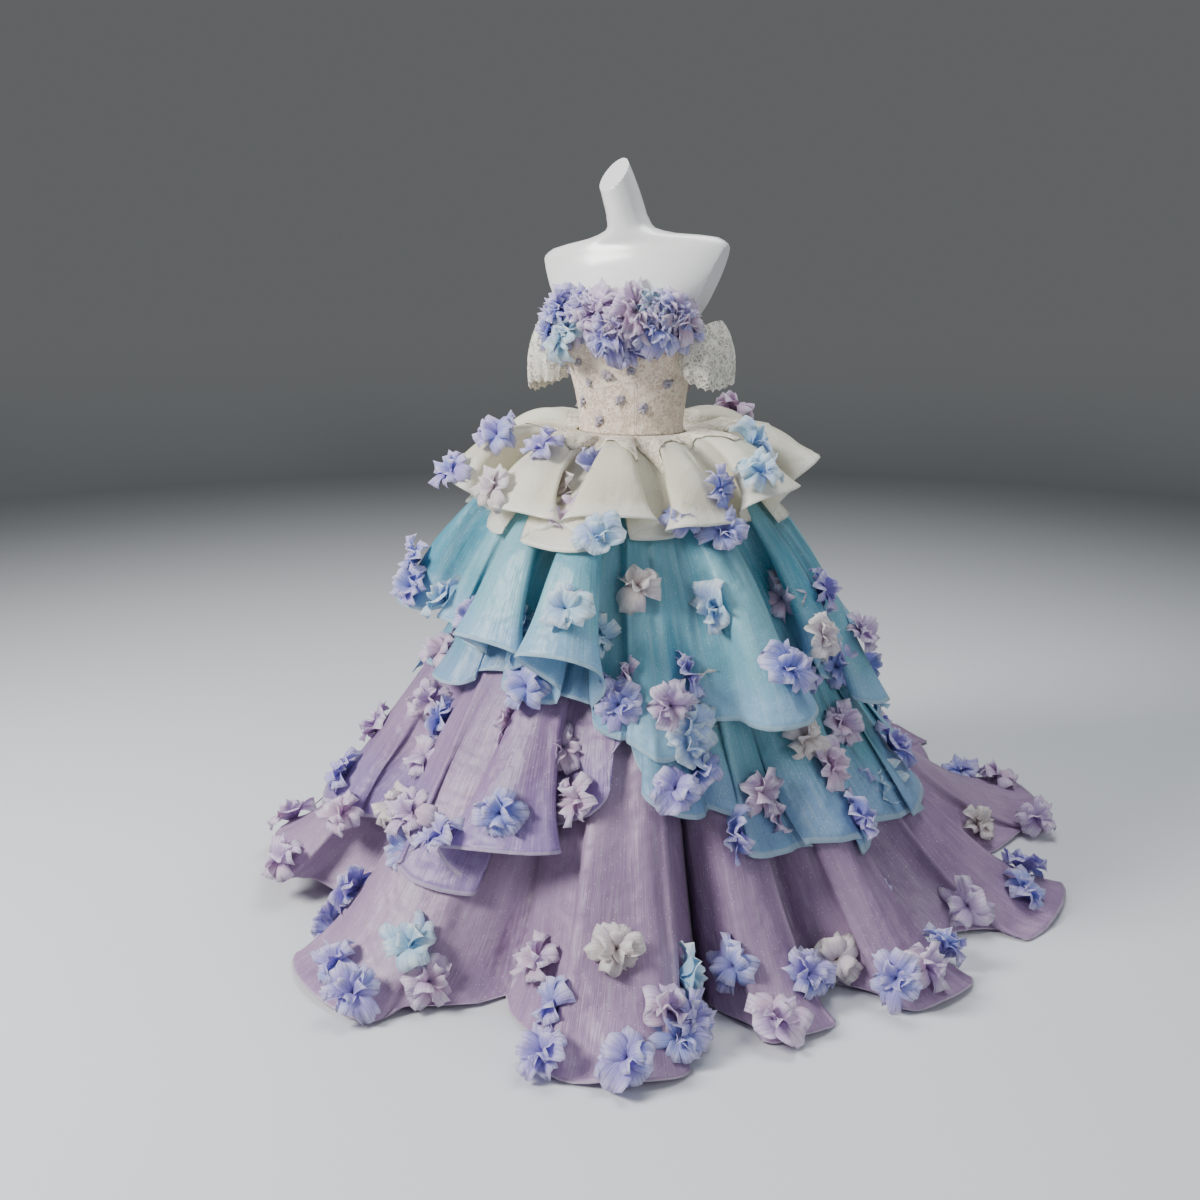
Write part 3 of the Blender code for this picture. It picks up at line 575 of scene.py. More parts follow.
LILAC_UPPER_CUTS = (Cut(0.65, 1.10, 1.60, 2.40, 0.60), Cut(1.10, 1.60, 2.00, 2.75, 0.55))
AQUA_LOWER_CUTS = (Cut(0.65, 1.25, 1.75, 2.60, 0.70), Cut(0.65, 1.35, 2.20, 3.60, 0.90))
AQUA_UPPER_CUTS = (Cut(0.40, 1.40, 2.10, 3.20, 0.65), Cut(0.40, 1.60, 2.50, 3.75, 0.75))
PEPLUM_CUTS = (Cut(0.40, 1.40, 2.10, 3.10, 0.35), Cut(0.40, 1.40, 2.10, 3.10, 0.33))
EDGE_CUT = Cut(0.80, 1.15, 1.25, 1.35, 0.12)


def declare_cut(made, cut):
    """Works out a piece's widest pattern width and the area of its laid cloth, and keeps neither."""
    max(cut[:4])
    laid = cloth_area(made)


# %% [markdown]
# ## The corset
# Five boned panels are sewn edge to edge and covered with corded lace. A single tube would
# hide the sewing, so each panel is its own grid, with a raised seam along both edges, a
# boning channel down its middle, and a few soft strain creases at the waist.

# %% Corset panels
CLOTH, BODY_GAP, WAIST = 0.0014, 0.0034, 1.050
Panel = namedtuple("Panel", "name start end")
CORSET = (
    Panel("bodice_centre_front", -24.0, 24.0),
    Panel("bodice_side_L", 24.0, 100.0),
    Panel("bodice_back_L", 100.0, 180.0),
    Panel("bodice_back_R", 180.0, 260.0),
    Panel("bodice_side_R", 260.0, 336.0),
)
CORSET_CREASES = (  # direction, level, slant, length, width, height
    (-14, 1.075, 0.3, 14, 0.006, -0.0014), (8, 1.092, -0.2, 18, 0.005, 0.0012),
    (22, 1.070, 0.4, 13, 0.007, -0.0016), (41, 1.100, -0.3, 20, 0.006, -0.0013),
    (58, 1.083, 0.2, 15, 0.005, 0.0014), (77, 1.110, -0.4, 17, 0.007, -0.0015),
    (-35, 1.105, 0.3, 16, 0.006, -0.0014), (-52, 1.080, -0.2, 19, 0.005, 0.0012),
    (-80, 1.095, 0.4, 14, 0.006, -0.0013), (112, 1.078, 0.3, 18, 0.006, -0.0014),
    (140, 1.098, -0.3, 14, 0.005, 0.0011), (163, 1.075, 0.2, 16, 0.007, -0.0013),
    (201, 1.102, -0.2, 17, 0.006, -0.0015), (228, 1.084, 0.4, 13, 0.005, 0.0012),
    (246, 1.110, -0.3, 18, 0.006, -0.0012), (12, 1.175, 0.2, 12, 0.006, -0.0010),
    (-44, 1.180, -0.3, 13, 0.006, -0.0010), (66, 1.168, 0.3, 15, 0.007, -0.0011),
)


def neckline(direction):
    """Level of the corset's top edge: two cup tops in front, lower across the back."""
    around = abs((direction + 180.0) % 360.0 - 180.0)
    bump = math.exp(-(((around - 36.0) / 22.0) ** 2))
    fall = min(max((around - 50.0) / 90.0, 0.0), 1.0)
    return 1.296 + 0.020 * bump - 0.034 * fall * fall * (3 - 2 * fall)


def corset_point(direction, level, out=0.0):
    """A point of the corset's outer side, rounded out over the two cups."""
    around = abs((direction + 180.0) % 360.0 - 180.0)
    cup = 0.014 * math.exp(-(((around - 36.0) / 30.0) ** 2) - ((level - 1.262) / 0.055) ** 2)
    return body_point(direction, level, BODY_GAP + CLOTH + cup + out)


def corset_relief(direction, level, across, wide):
    """How far seams, boning and creases stand out from the corset."""
    side = min(across, 1 - across) * wide
    height = 0.0016 * math.exp(-((side / 0.0035) ** 2))
    height += 0.0007 * math.exp(-(((across - 0.5) * wide / 0.004) ** 2))
    for at, high, slant, length, width, depth in CORSET_CREASES:
        aside = (direction - at + 180.0) % 360.0 - 180.0
        away = (level - high - slant * math.radians(aside) * 0.12) / width
        height += depth * math.exp(-(away**2) - (aside / length) ** 2)
    return height


for panel in CORSET:
    wide = math.radians(panel.end - panel.start) * 0.125

    def place(across, down):
        direction = panel.start + (panel.end - panel.start) * across
        top = neckline(direction)
        level = top + (WAIST - top) * down
        return corset_point(direction, level, corset_relief(direction, level, across, wide))

    bm = cloth_grid(round(wide / 0.0034), 54, place, wide, 0.25)
    made = thicken(piece(panel.name + "_lace", bm, CORSET_LACE, [panel.name]), CLOTH)
    declare_cut(made, CORSET_CUTS[panel.name])

# %% [markdown]
# ## The arm loops
# A loop of sheer lace hangs off each shoulder, held only at the corset. It could be a plain
# tube, but real lace falls in soft uneven flutes to an edge of little points, so the loop is
# a bent grid with its own table of folds and a scalloped hem.

# %% Arm loops
Loop = namedtuple("Loop", "centre wide deep level")
LOOPS = (
    ("sleeve_L", 1, Loop(0.168, 0.036, 0.056, 1.292), Loop(0.172, 0.056, 0.066, 1.150)),
    ("sleeve_R", -1, Loop(0.170, 0.040, 0.052, 1.304), Loop(0.182, 0.064, 0.068, 1.136)),
)
LOOP_SWEEP, LOOP_DIP = 122.0, 0.040
LOOP_FOLDS = (  # turn in degrees, width in degrees, height at the hem, start, drift
    (-104, 9, 0.006, 0.10, 6), (-82, 7, -0.007, 0.25, -5), (-61, 10, 0.009, 0.05, 4),
    (-38, 6, -0.006, 0.30, 8), (-22, 8, 0.007, 0.20, -6), (3, 9, -0.009, 0.10, 5),
    (24, 7, 0.008, 0.35, -4), (41, 6, -0.005, 0.15, 7), (63, 10, 0.009, 0.05, -7),
    (88, 8, -0.007, 0.25, 5), (107, 7, 0.005, 0.30, -3),
)


def loop_fold(turn, down):
    """How far the lace stands out in a fold at a place of the loop."""
    height = 0.0
    for at, width, out, start, drift in LOOP_FOLDS:
        fade = min(max((down - start) / (1 - start), 0.0), 1.0)
        height += out * fade * math.exp(-(((turn - at - drift * down) / width) ** 2))
    return height


for name, side, top, hem in LOOPS:

    def place(across, down):
        degrees = LOOP_SWEEP * (2 * across - 1)
        turn = math.radians(degrees)
        inward = (1 - math.cos(turn)) / 2
        centre, wide, deep, _ = (a + (b - a) * down for a, b in zip(top, hem))
        out = loop_fold(degrees * side, down) + 0.016 * math.sin(math.pi * down ** 0.8)
        points = abs(math.sin(turn * 11.5)) ** 0.6 * 0.007 + 0.007 * math.sin(turn * 2.3 + side)
        first = top.level - LOOP_DIP * inward
        last = hem.level + 0.030 * inward + points - 0.004
        x = centre + (wide + out) * math.cos(turn)
        y = side * (deep + out) * math.sin(turn)
        return Vector((side * x, y, first + (last - first) * down))

    bm = cloth_grid(150, 44, place, 0.30, 0.16)
    made = thicken(piece(name + "_lace", bm, SHEER_LACE, [name]), LACE_WALL)
    declare_cut(made, LOOP_CUT)

# %% [markdown]
# ## The skirt's tiers
# Each tier is a circle of organza sewn on at its top and falling in flutes: long cones that
# open towards the hem. A flute has a direction, a depth and rise at its ridge, and a roll
# that carries its sides under until it is nearly a tube. A tier lies on the tiers under it,
# so the rays of a search tree, shot in from outside, push its cloth clear of them.

# %% The tables of flutes and creases
Flute = namedtuple("Flute", "direction depth lift curl reach drift", defaults=(0.0,))
Crease = namedtuple("Crease", "at top bottom width height drift")
HEM_LEVEL = 0.006

SKIRT = dict(
    flutes=(
        Flute(-21, 0.235, 0.000, 0.09, 1.00), Flute(25, 0.245, 0.000, 0.08, 1.00),
        Flute(50, 0.175, 0.000, 0.10, 1.00), Flute(72, 0.225, 0.000, 0.10, 1.00),
        Flute(101, 0.235, 0.000, 0.12, 1.00), Flute(134, 0.200, 0.000, 0.10, 1.00),
        Flute(165, 0.150, 0.000, 0.09, 1.00), Flute(197, 0.160, 0.000, 0.09, 1.00),
        Flute(229, 0.170, 0.000, 0.10, 1.00), Flute(263, 0.210, 0.000, 0.12, 1.00),
        Flute(300, 0.230, 0.060, 0.16, 0.98),
    ),
    seam=1.020, tight=0.26, ramp=0.80, broad=0.34,
    front=((0.330, 0.690), (0.490, 0.090), (0.640, HEM_LEVEL)),
    side=((0.335, 0.690), (0.500, 0.090), (0.700, HEM_LEVEL)),
    back=((0.350, 0.700), (0.580, 0.070), (1.130, HEM_LEVEL)),
    creases=(
        (0.72, 0.35, 0.97, 0.050, -0.012, 0.05), (0.86, 0.45, 1.10, 0.040, 0.008, -0.10),
        (0.98, 0.30, 0.88, 0.060, -0.014, 0.03), (1.13, 0.52, 1.10, 0.045, -0.010, 0.12),
        (1.24, 0.38, 0.94, 0.035, 0.009, -0.06), (1.06, 0.74, 1.10, 0.050, 0.010, -0.25),
        (-0.20, 0.40, 1.10, 0.050, -0.013, 0.06), (-0.02, 0.55, 0.96, 0.035, 0.008, -0.08),
        (0.14, 0.36, 0.86, 0.055, -0.012, 0.04), (0.28, 0.62, 1.10, 0.040, 0.009, 0.10),
        (2.10, 0.45, 1.10, 0.070, -0.010, 0.08), (2.72, 0.50, 1.00, 0.050, -0.013, -0.05),
        (2.95, 0.35, 0.90, 0.040, 0.010, 0.06), (3.12, 0.58, 1.10, 0.045, -0.012, 0.08),
        (3.86, 0.42, 1.10, 0.050, -0.014, 0.05), (4.08, 0.60, 1.00, 0.040, 0.011, -0.07),
        (4.20, 0.34, 0.82, 0.045, -0.010, 0.04), (4.90, 0.50, 1.10, 0.050, -0.013, 0.06),
        (5.16, 0.40, 0.92, 0.040, 0.010, -0.05), (5.84, 0.55, 1.10, 0.050, -0.012, 0.07),
        (6.10, 0.38, 0.86, 0.045, -0.010, -0.04), (6.88, 0.46, 1.10, 0.050, 0.011, 0.05),
        (7.12, 0.62, 1.05, 0.040, -0.012, -0.08), (7.90, 0.36, 0.90, 0.050, -0.012, 0.05),
        (8.10, 0.54, 1.10, 0.040, 0.010, 0.07), (8.84, 0.44, 1.00, 0.050, -0.014, -0.05),
        (9.10, 0.60, 1.10, 0.045, 0.010, 0.06), (9.80, 0.40, 0.92, 0.050, -0.012, 0.05),
        (10.06, 0.56, 1.10, 0.040, 0.010, -0.06), (10.22, 0.34, 0.84, 0.045, -0.011, 0.04),
    ),
    panels=(
        Panel("skirt_front", -0.5, 1.5), Panel("skirt_side_L", 1.5, 4.5),
        Panel("skirt_train_L", 4.5, 6.5), Panel("skirt_train_R", 6.5, 8.5),
        Panel("skirt_side_R", 8.5, 10.5),
    ),
)
LILAC_UPPER = dict(
    flutes=(
        Flute(0, 0.135, 0.125, 0.28, 0.94), Flute(32, 0.020, 0.000, 0.00, 0.46),
        Flute(84, 0.020, 0.000, 0.00, 0.46), Flute(136, 0.020, 0.000, 0.00, 0.50),
        Flute(190, 0.020, 0.000, 0.00, 0.54), Flute(238, 0.060, 0.020, 0.12, 0.86),
        Flute(270, 0.100, 0.060, 0.22, 0.94), Flute(303, 0.120, 0.030, 0.20, 0.96),
        Flute(333, 0.070, 0.010, 0.12, 0.84),
    ),
    seam=0.800, start=0.262, tight=0.25, ramp=1.2, broad=1.0,
    front=((0.380, 0.640), (0.455, 0.380), (0.500, 0.130)),
    side=((0.380, 0.640), (0.465, 0.380), (0.520, 0.120)),
    back=((0.380, 0.640), (0.470, 0.380), (0.540, 0.120)),
    creases=(
        (-0.12, 0.20, 1.10, 0.050, 0.007, 0.04), (0.10, 0.35, 1.00, 0.040, -0.009, -0.05),
        (0.24, 0.15, 0.90, 0.040, 0.006, 0.05), (-0.34, 0.40, 1.10, 0.050, -0.008, 0.04),
        (-0.90, 0.25, 1.10, 0.045, 0.008, 0.06), (-1.14, 0.45, 1.00, 0.050, -0.010, -0.05),
        (-1.88, 0.30, 1.10, 0.045, -0.009, 0.05), (-2.12, 0.20, 0.90, 0.040, 0.007, -0.04),
        (1.30, 0.20, 1.10, 0.060, 0.006, 0.05), (2.10, 0.30, 1.00, 0.050, -0.007, 0.05),
        (2.60, 0.15, 1.10, 0.060, 0.007, -0.04), (3.20, 0.30, 1.10, 0.050, -0.007, 0.04),
        (3.80, 0.20, 0.95, 0.050, 0.006, 0.05), (4.40, 0.35, 1.10, 0.050, -0.008, -0.05),
        (5.05, 0.25, 1.10, 0.045, 0.007, 0.04), (5.80, 0.40, 1.00, 0.050, -0.008, 0.05),
    ),
    panels=(Panel("lilac_upper_front", -2.5, 1.5), Panel("lilac_upper_back", 1.5, 6.5)),
)
AQUA_LOWER = dict(
    flutes=(
        Flute(6, 0.050, -0.020, 0.08, 0.58), Flute(29, 0.125, -0.050, 0.10, 0.76, 6),
        Flute(50, 0.100, -0.045, 0.12, 0.86, 7), Flute(76, 0.110, -0.020, 0.16, 0.90, 6),
        Flute(104, 0.090, 0.020, 0.18, 0.93), Flute(135, 0.095, 0.030, 0.18, 0.95),
        Flute(172, 0.105, -0.030, 0.14, 0.98), Flute(210, 0.105, 0.020, 0.18, 0.94),
        Flute(248, 0.090, 0.030, 0.18, 0.80), Flute(286, 0.085, -0.020, 0.14, 0.68),
        Flute(323, 0.075, -0.020, 0.10, 0.62),
    ),
    seam=0.925, start=0.190, tight=0.22, ramp=1.2, broad=1.0,
    front=((0.320, 0.830), (0.410, 0.560), (0.490, 0.150)),
    side=((0.315, 0.830), (0.405, 0.560), (0.480, 0.130)),
    back=((0.330, 0.830), (0.460, 0.540), (0.660, 0.230)),
    creases=(
        (0.86, 0.30, 1.10, 0.045, 0.007, 0.05), (1.12, 0.45, 1.00, 0.040, -0.008, -0.06),
        (1.30, 0.25, 1.10, 0.050, 0.006, 0.05), (1.70, 0.35, 0.95, 0.045, -0.008, 0.05),
        (1.92, 0.20, 1.10, 0.040, 0.008, -0.05), (2.18, 0.50, 1.10, 0.045, -0.009, 0.06),
        (2.62, 0.28, 1.00, 0.040, 0.006, 0.05), (2.90, 0.40, 1.10, 0.050, -0.008, -0.04),
        (3.14, 0.22, 0.90, 0.040, 0.007, 0.05), (3.90, 0.35, 1.10, 0.050, -0.009, 0.05),
        (4.22, 0.25, 1.00, 0.045, 0.008, -0.05), (4.95, 0.40, 1.10, 0.045, -0.009, 0.04),
        (5.20, 0.20, 0.92, 0.040, 0.007, 0.05), (5.90, 0.34, 1.10, 0.050, -0.008, -0.05),
        (6.15, 0.48, 1.10, 0.045, 0.008, 0.05), (6.88, 0.26, 1.00, 0.040, -0.008, 0.04),
        (7.90, 0.36, 1.10, 0.050, -0.009, 0.05), (8.12, 0.22, 0.94, 0.040, 0.007, -0.05),
        (8.90, 0.42, 1.10, 0.045, -0.008, 0.05), (9.16, 0.28, 1.00, 0.045, 0.008, 0.04),
        (9.92, 0.36, 1.10, 0.050, -0.008, -0.05), (10.20, 0.24, 0.96, 0.040, 0.006, 0.05),
    ),
    panels=(Panel("aqua_lower_front", -2.5, 3.5), Panel("aqua_lower_back", 3.5, 8.5)),
)
AQUA_UPPER = dict(
    flutes=(
        Flute(10, 0.105, 0.135, 0.30, 0.96), Flute(27, 0.022, -0.010, 0.00, 1.02, 4),
        Flute(54, 0.155, -0.030, 0.08, 0.93, 8), Flute(82, 0.085, 0.060, 0.26, 0.90, 6),
        Flute(102, 0.150, -0.010, 0.12, 1.00), Flute(133, 0.105, 0.100, 0.28, 0.97),
        Flute(160, 0.140, -0.010, 0.12, 1.03), Flute(196, 0.105, 0.095, 0.27, 0.98),
        Flute(227, 0.140, -0.010, 0.12, 1.00), Flute(262, 0.105, 0.090, 0.27, 0.92),
        Flute(294, 0.150, 0.010, 0.10, 0.84, -6), Flute(322, 0.055, -0.010, 0.04, 0.80, -6),
        Flute(345, 0.075, 0.100, 0.30, 0.92),
    ),
    seam=1.034, tight=0.12, ramp=1.15, broad=1.0,
    front=((0.250, 0.990), (0.365, 0.800), (0.415, 0.500)),
    side=((0.250, 0.990), (0.365, 0.790), (0.425, 0.480)),
    back=((0.250, 0.990), (0.370, 0.780), (0.440, 0.450)),
    creases=(
        (1.55, 0.08, 1.10, 0.090, 0.015, 0.50), (1.85, 0.12, 0.96, 0.070, -0.013, 0.42),
        (2.20, 0.20, 1.10, 0.080, 0.013, 0.38), (2.42, 0.10, 0.90, 0.060, -0.011, 0.30),
        (10.20, 0.15, 1.10, 0.080, 0.013, -0.34), (9.75, 0.10, 0.95, 0.070, -0.012, -0.28),
        (5.70, 0.18, 1.10, 0.080, 0.012, 0.30), (7.60, 0.12, 1.00, 0.080, -0.012, -0.30),
        (-0.22, 0.20, 0.95, 0.045, 0.006, 0.05), (-0.06, 0.30, 1.10, 0.040, -0.007, 0.03),
        (0.16, 0.15, 0.90, 0.040, 0.006, -0.04), (0.55, 0.20, 1.10, 0.050, -0.008, 0.05),
        (0.80, 0.35, 1.00, 0.045, 0.007, -0.05), (1.10, 0.18, 0.88, 0.050, -0.007, 0.04),
        (1.45, 0.25, 1.10, 0.045, 0.007, 0.05), (1.78, 0.40, 1.10, 0.050, -0.009, -0.04),
        (2.04, 0.20, 0.92, 0.040, 0.007, 0.05), (2.30, 0.30, 1.10, 0.045, -0.008, 0.04),
        (2.84, 0.22, 1.00, 0.045, 0.007, -0.05), (3.10, 0.42, 1.10, 0.050, -0.008, 0.05),
        (3.86, 0.25, 1.10, 0.045, -0.009, 0.04), (4.12, 0.35, 0.94, 0.040, 0.007, -0.05),
        (4.90, 0.20, 1.10, 0.050, -0.008, 0.05), (5.14, 0.32, 1.00, 0.045, 0.008, 0.04),
        (5.92, 0.26, 1.10, 0.045, -0.008, -0.05), (6.20, 0.38, 0.95, 0.040, 0.007, 0.05),
        (6.86, 0.22, 1.10, 0.050, -0.009, 0.04), (7.92, 0.34, 1.10, 0.045, 0.008, -0.05),
        (8.16, 0.20, 0.92, 0.040, -0.007, 0.05), (8.90, 0.36, 1.10, 0.050, -0.008, 0.04),
        (9.12, 0.24, 1.00, 0.045, 0.007, -0.05), (9.84, 0.30, 1.10, 0.045, -0.009, 0.05),
        (10.10, 0.18, 0.90, 0.040, 0.007, 0.04), (10.90, 0.28, 1.10, 0.050, -0.008, -0.05),
        (11.60, 0.22, 1.10, 0.045, 0.006, 0.05), (12.40, 0.34, 1.00, 0.045, -0.007, 0.04),
    ),
    panels=(Panel("aqua_upper_front", -3.5, 3.5), Panel("aqua_upper_back", 3.5, 9.5)),
)
PEPLUM = dict(
    flutes=(
        Flute(-17, 0.120, 0.070, 0.26, 1.00), Flute(19, 0.085, 0.060, 0.29, 0.98),
        Flute(50, 0.105, 0.030, 0.20, 0.96), Flute(80, 0.130, 0.085, 0.26, 0.98),
        Flute(118, 0.150, 0.120, 0.24, 0.96), Flute(160, 0.140, 0.155, 0.22, 0.95),
        Flute(202, 0.140, 0.150, 0.23, 0.95), Flute(246, 0.150, 0.140, 0.24, 0.96),
        Flute(298, 0.150, 0.100, 0.24, 0.99),
    ),
    seam=1.0475, tight=0.04, ramp=1.0, broad=0.9,
    front=((0.175, 1.055), (0.235, 0.985), (0.255, 0.850)),
    side=((0.185, 1.060), (0.240, 0.990), (0.260, 0.855)),
    back=((0.175, 1.060), (0.235, 0.990), (0.260, 0.860)),
    creases=(
        (-0.22, 0.15, 0.95, 0.040, 0.006, 0.05), (-0.08, 0.20, 1.10, 0.035, -0.006, 0.03),
        (0.12, 0.25, 1.10, 0.040, -0.008, -0.04), (0.24, 0.10, 0.70, 0.030, 0.005, 0.02),
        (0.84, 0.20, 1.00, 0.040, 0.006, 0.05), (1.12, 0.30, 1.10, 0.045, -0.007, 0.04),
        (1.84, 0.15, 0.90, 0.040, 0.006, -0.05), (2.10, 0.35, 1.10, 0.040, -0.008, 0.05),
        (2.22, 0.12, 0.80, 0.035, 0.006, 0.03), (2.84, 0.22, 1.10, 0.045, 0.007, 0.04),
        (3.04, 0.30, 0.95, 0.040, -0.008, -0.05), (3.20, 0.18, 1.10, 0.035, 0.006, 0.05),
        (3.86, 0.24, 1.00, 0.045, -0.008, 0.04), (4.14, 0.20, 1.10, 0.040, 0.007, -0.05),
        (4.90, 0.36, 1.10, 0.045, -0.007, 0.05), (5.16, 0.16, 0.92, 0.040, 0.006, 0.04),
        (5.86, 0.28, 1.10, 0.040, -0.008, -0.05), (6.12, 0.20, 1.10, 0.045, 0.006, 0.05),
        (6.88, 0.32, 1.00, 0.040, -0.007, 0.04), (7.10, 0.18, 1.10, 0.040, 0.007, -0.05),
        (7.84, 0.26, 1.10, 0.045, -0.008, 0.05), (8.08, 0.34, 0.94, 0.040, 0.007, 0.04),
        (8.22, 0.14, 1.10, 0.035, -0.006, -0.03),
    ),
    panels=(Panel("peplum_front", -1.5, 3.5), Panel("peplum_back", 3.5, 7.5)),
)


# %% The rule of a tier
def along(flutes, column, at):
    """A column of a flute table read smoothly anywhere round the body."""
    table = np.array([getattr(row, column) for row in flutes], float)
    first = np.floor(at).astype(int)

    def read(k):
        turns, row = np.divmod(k, len(flutes))
        return table[row] + 360.0 * turns * (column == "direction")

    return smooth_between(*(read(first + k) for k in (-1, 0, 1, 2)), at - first)


def seam_radius(angle, level):
    """Distance from the axis to the cloth at a tier's seam."""
    wide, deep, _ = body_at(level)
    out = BODY_GAP + 2 * CLOTH
    return 1 / np.hypot(np.sin(angle) / (wide + out), np.cos(angle) / (deep + out))


def trough_line(tier, angle, share):
    """Radius and level of the tier's troughs, in one direction, a share of the way down."""
    cosine, double = np.cos(angle), np.cos(2 * angle)
    start = tier.get("start") or seam_radius(angle, tier["seam"])
    points = [(start, tier["seam"])]
    for front, side, back in zip(tier["front"], tier["side"], tier["back"]):
        points.append([
            ((f + b) / 2 + s) / 2 + (f - b) / 2 * cosine + ((f + b) / 2 - s) / 2 * double
            for f, s, b in zip(front, side, back)
        ])
    rest = 1.0 - share
    weights = (rest**3, 3 * share * rest**2, 3 * share**2 * rest, share**3)
    return [sum(w * p[axis] for w, p in zip(weights, points)) for axis in (0, 1)]


def tier_points(tier, at, down):
    """Points of a tier: its trough line, plus each flute's ridge, rise and roll."""
    flutes = tier["flutes"]
    direction, depth, lift, curl, reach, drift = (along(flutes, c, at) for c in Flute._fields)
    width = along(flutes, "direction", at + 0.5) - along(flutes, "direction", at - 0.5)
    swing = math.tau * at
    full = np.clip((down - tier["tight"]) / (1 - tier["tight"]), 0.0, 1.0) ** tier["ramp"]
    ridge = ((1 + np.cos(swing)) / 2) ** tier["broad"] * full
    angle = np.radians(direction + drift * full + curl * width * np.sin(2 * swing) * full)
    radius, level = trough_line(tier, angle, down * reach)
    radius = radius + depth * ridge
    level = np.maximum(HEM_LEVEL, level + lift * ridge)
    return np.stack([radius * np.sin(angle), -radius * np.cos(angle), level], axis=-1)


def square_out(points):
    """The direction standing square out of the cloth at every point of a closed tier."""
    across = np.roll(points, -1, axis=1) - np.roll(points, 1, axis=1)
    normal = np.cross(np.gradient(points, axis=0), across)
    return normal / np.maximum(np.linalg.norm(normal, axis=-1, keepdims=True), 1e-9)


def crease_height(tier, at, down):
    """How far the listed creases stand out from the cloth."""
    count, height = len(tier["flutes"]), np.zeros_like(at)
    for row in map(Crease._make, tier["creases"]):
        aside = (at - row.at - row.drift * (down - row.top) + count / 2) % count - count / 2
        starts = np.clip((down - row.top) / 0.16, 0.0, 1.0)
        ends = np.clip((row.bottom - down) / 0.18, 0.0, 1.0)
        fade = starts * starts * (3 - 2 * starts) * ends * ends * (3 - 2 * ends)
        height += row.height * fade * np.exp(-((aside / row.width) ** 2))
    return height


def hem_flutter(at, down, depth, seed):
    """Small uneven waves that grow over the last hand's width above the hem."""
    waves = (
        np.sin(math.tau * (3 * at + 0.13 * seed)) + 0.7 * np.sin(math.tau * (5 * at + 0.31 * seed))
        + 0.5 * np.sin(math.tau * (8 * at + 0.57 * seed + 0.2 * np.sin(math.tau * at)))
    )
    return depth * waves * np.clip((down - 0.55) / 0.45, 0.0, 1.0) ** 2


# %% Keeping a tier clear of the tiers under it
LAYER_GAP, FELT = 0.0065, 0.012


def search_tree(pieces):
    """One search tree of the outer sides of several pieces."""
    bm = bmesh.new()
    for made in pieces:
        bm.from_mesh(made.data)
    found = BVHTree.FromBMesh(bm)
    bm.free()
    return found


def pushed_clear(points, tree):
    """The cloth moved straight out where it would touch what lies under it, with soft slopes."""
    radius = np.hypot(points[..., 0], points[..., 1])
    need = np.zeros_like(radius)
    for j, i in np.ndindex(radius.shape):
        x, y, z = points[j, i]
        gap, felt = (LAYER_GAP, FELT) if j else (0.0015, 0.0)
        for aside, up in ((0, 0), (-1, 0), (1, 0), (0, -1), (0, 1)):
            angle = math.atan2(x, -y) + aside * felt / radius[j, i]
            out = Vector((math.sin(angle), -math.cos(angle), 0.0))
            hit = tree.ray_cast(out * 2.0 + Vector((0.0, 0.0, z + up * felt)), -out)[0]
            if hit:
                need[j, i] = max(need[j, i], math.hypot(hit.x, hit.y) + gap - radius[j, i])
            if not felt:
                break
    push = need.copy()
    for _ in range(14):
        soft = (push + np.roll(push, 1, 1) + np.roll(push, -1, 1)) / 3
        soft[1:-1] = (soft[1:-1] + soft[:-2] + soft[2:]) / 3
        push = np.maximum(need, soft)
    scale = 1 + push / np.maximum(radius, 1e-6)
    moved = points.copy()
    moved[..., 0] *= scale
    moved[..., 1] *= scale
    print("  pushed out by up to", round(float(push.max()), 3))
    return moved


# %% Laying and cutting a tier
STEPS = 32
LAID = {}


def lay_tier(name, tier, rows, flutter, lip, seed, under):
    """The whole tier as rows of points from its seam to its hem."""
    count = len(tier["flutes"])
    at, down = np.meshgrid(np.arange(count * STEPS) / STEPS, np.linspace(0, 1, rows + 1))
    points = tier_points(tier, at, down)
    height = crease_height(tier, at, down) + hem_flutter(at, down, flutter, seed)
    height += lip * np.clip((down - 0.84) / 0.16, 0.0, 1.0) ** 2
    points = points + square_out(points) * height[..., None]
    if under:
        points = pushed_clear(points, search_tree(under))
    points[..., 2] = np.maximum(points[..., 2], HEM_LEVEL)
    LAID[name] = points


def cut_panels(name, tier, finish, thickness, cuts):
    """The laid tier cut into its sewn panels, each a thin wall of cloth."""
    points = LAID[name]
    rows, columns = points.shape[0] - 1, points.shape[1]
    lengths = np.linalg.norm(np.diff(points, axis=0), axis=-1).sum(axis=0)
    made = []
    for panel, cut in zip(tier["panels"], cuts):
        first, last = round(panel.start * STEPS), round(panel.end * STEPS)

        def place(across, down):
            column = first + round(across * (last - first))
            return Vector(points[round(down * rows), column % columns])

        spread = np.arange(first, last + 1) % columns
        hem = np.linalg.norm(np.diff(points[-1, spread], axis=0), axis=-1).sum()
        drop = lengths[spread].max()
        bm = cloth_grid(last - first, rows, place, hem, lengths[spread].mean())
        part = thicken(piece(panel.name + "_cloth", bm, finish, [panel.name]), thickness)
        declare_cut(part, cut)
        girths = [np.linalg.norm(np.diff(points[r, spread], axis=0), axis=-1).sum()
                  for r in (0, rows // 2, 3 * rows // 4, rows)]
        print("   laid widths", [round(g, 2) for g in girths], "length",
              round(lengths[spread].mean(), 2), "longest", round(drop, 2))
        made.append(part)
    return made


# %% The floor skirt with its train
lay_tier("skirt", SKIRT, 72, 0.0035, 0.006, 1.0, [])
skirt = cut_panels("skirt", SKIRT, LILAC_CLOTH, SKIRT_WALL,
                   SKIRT_CUTS)

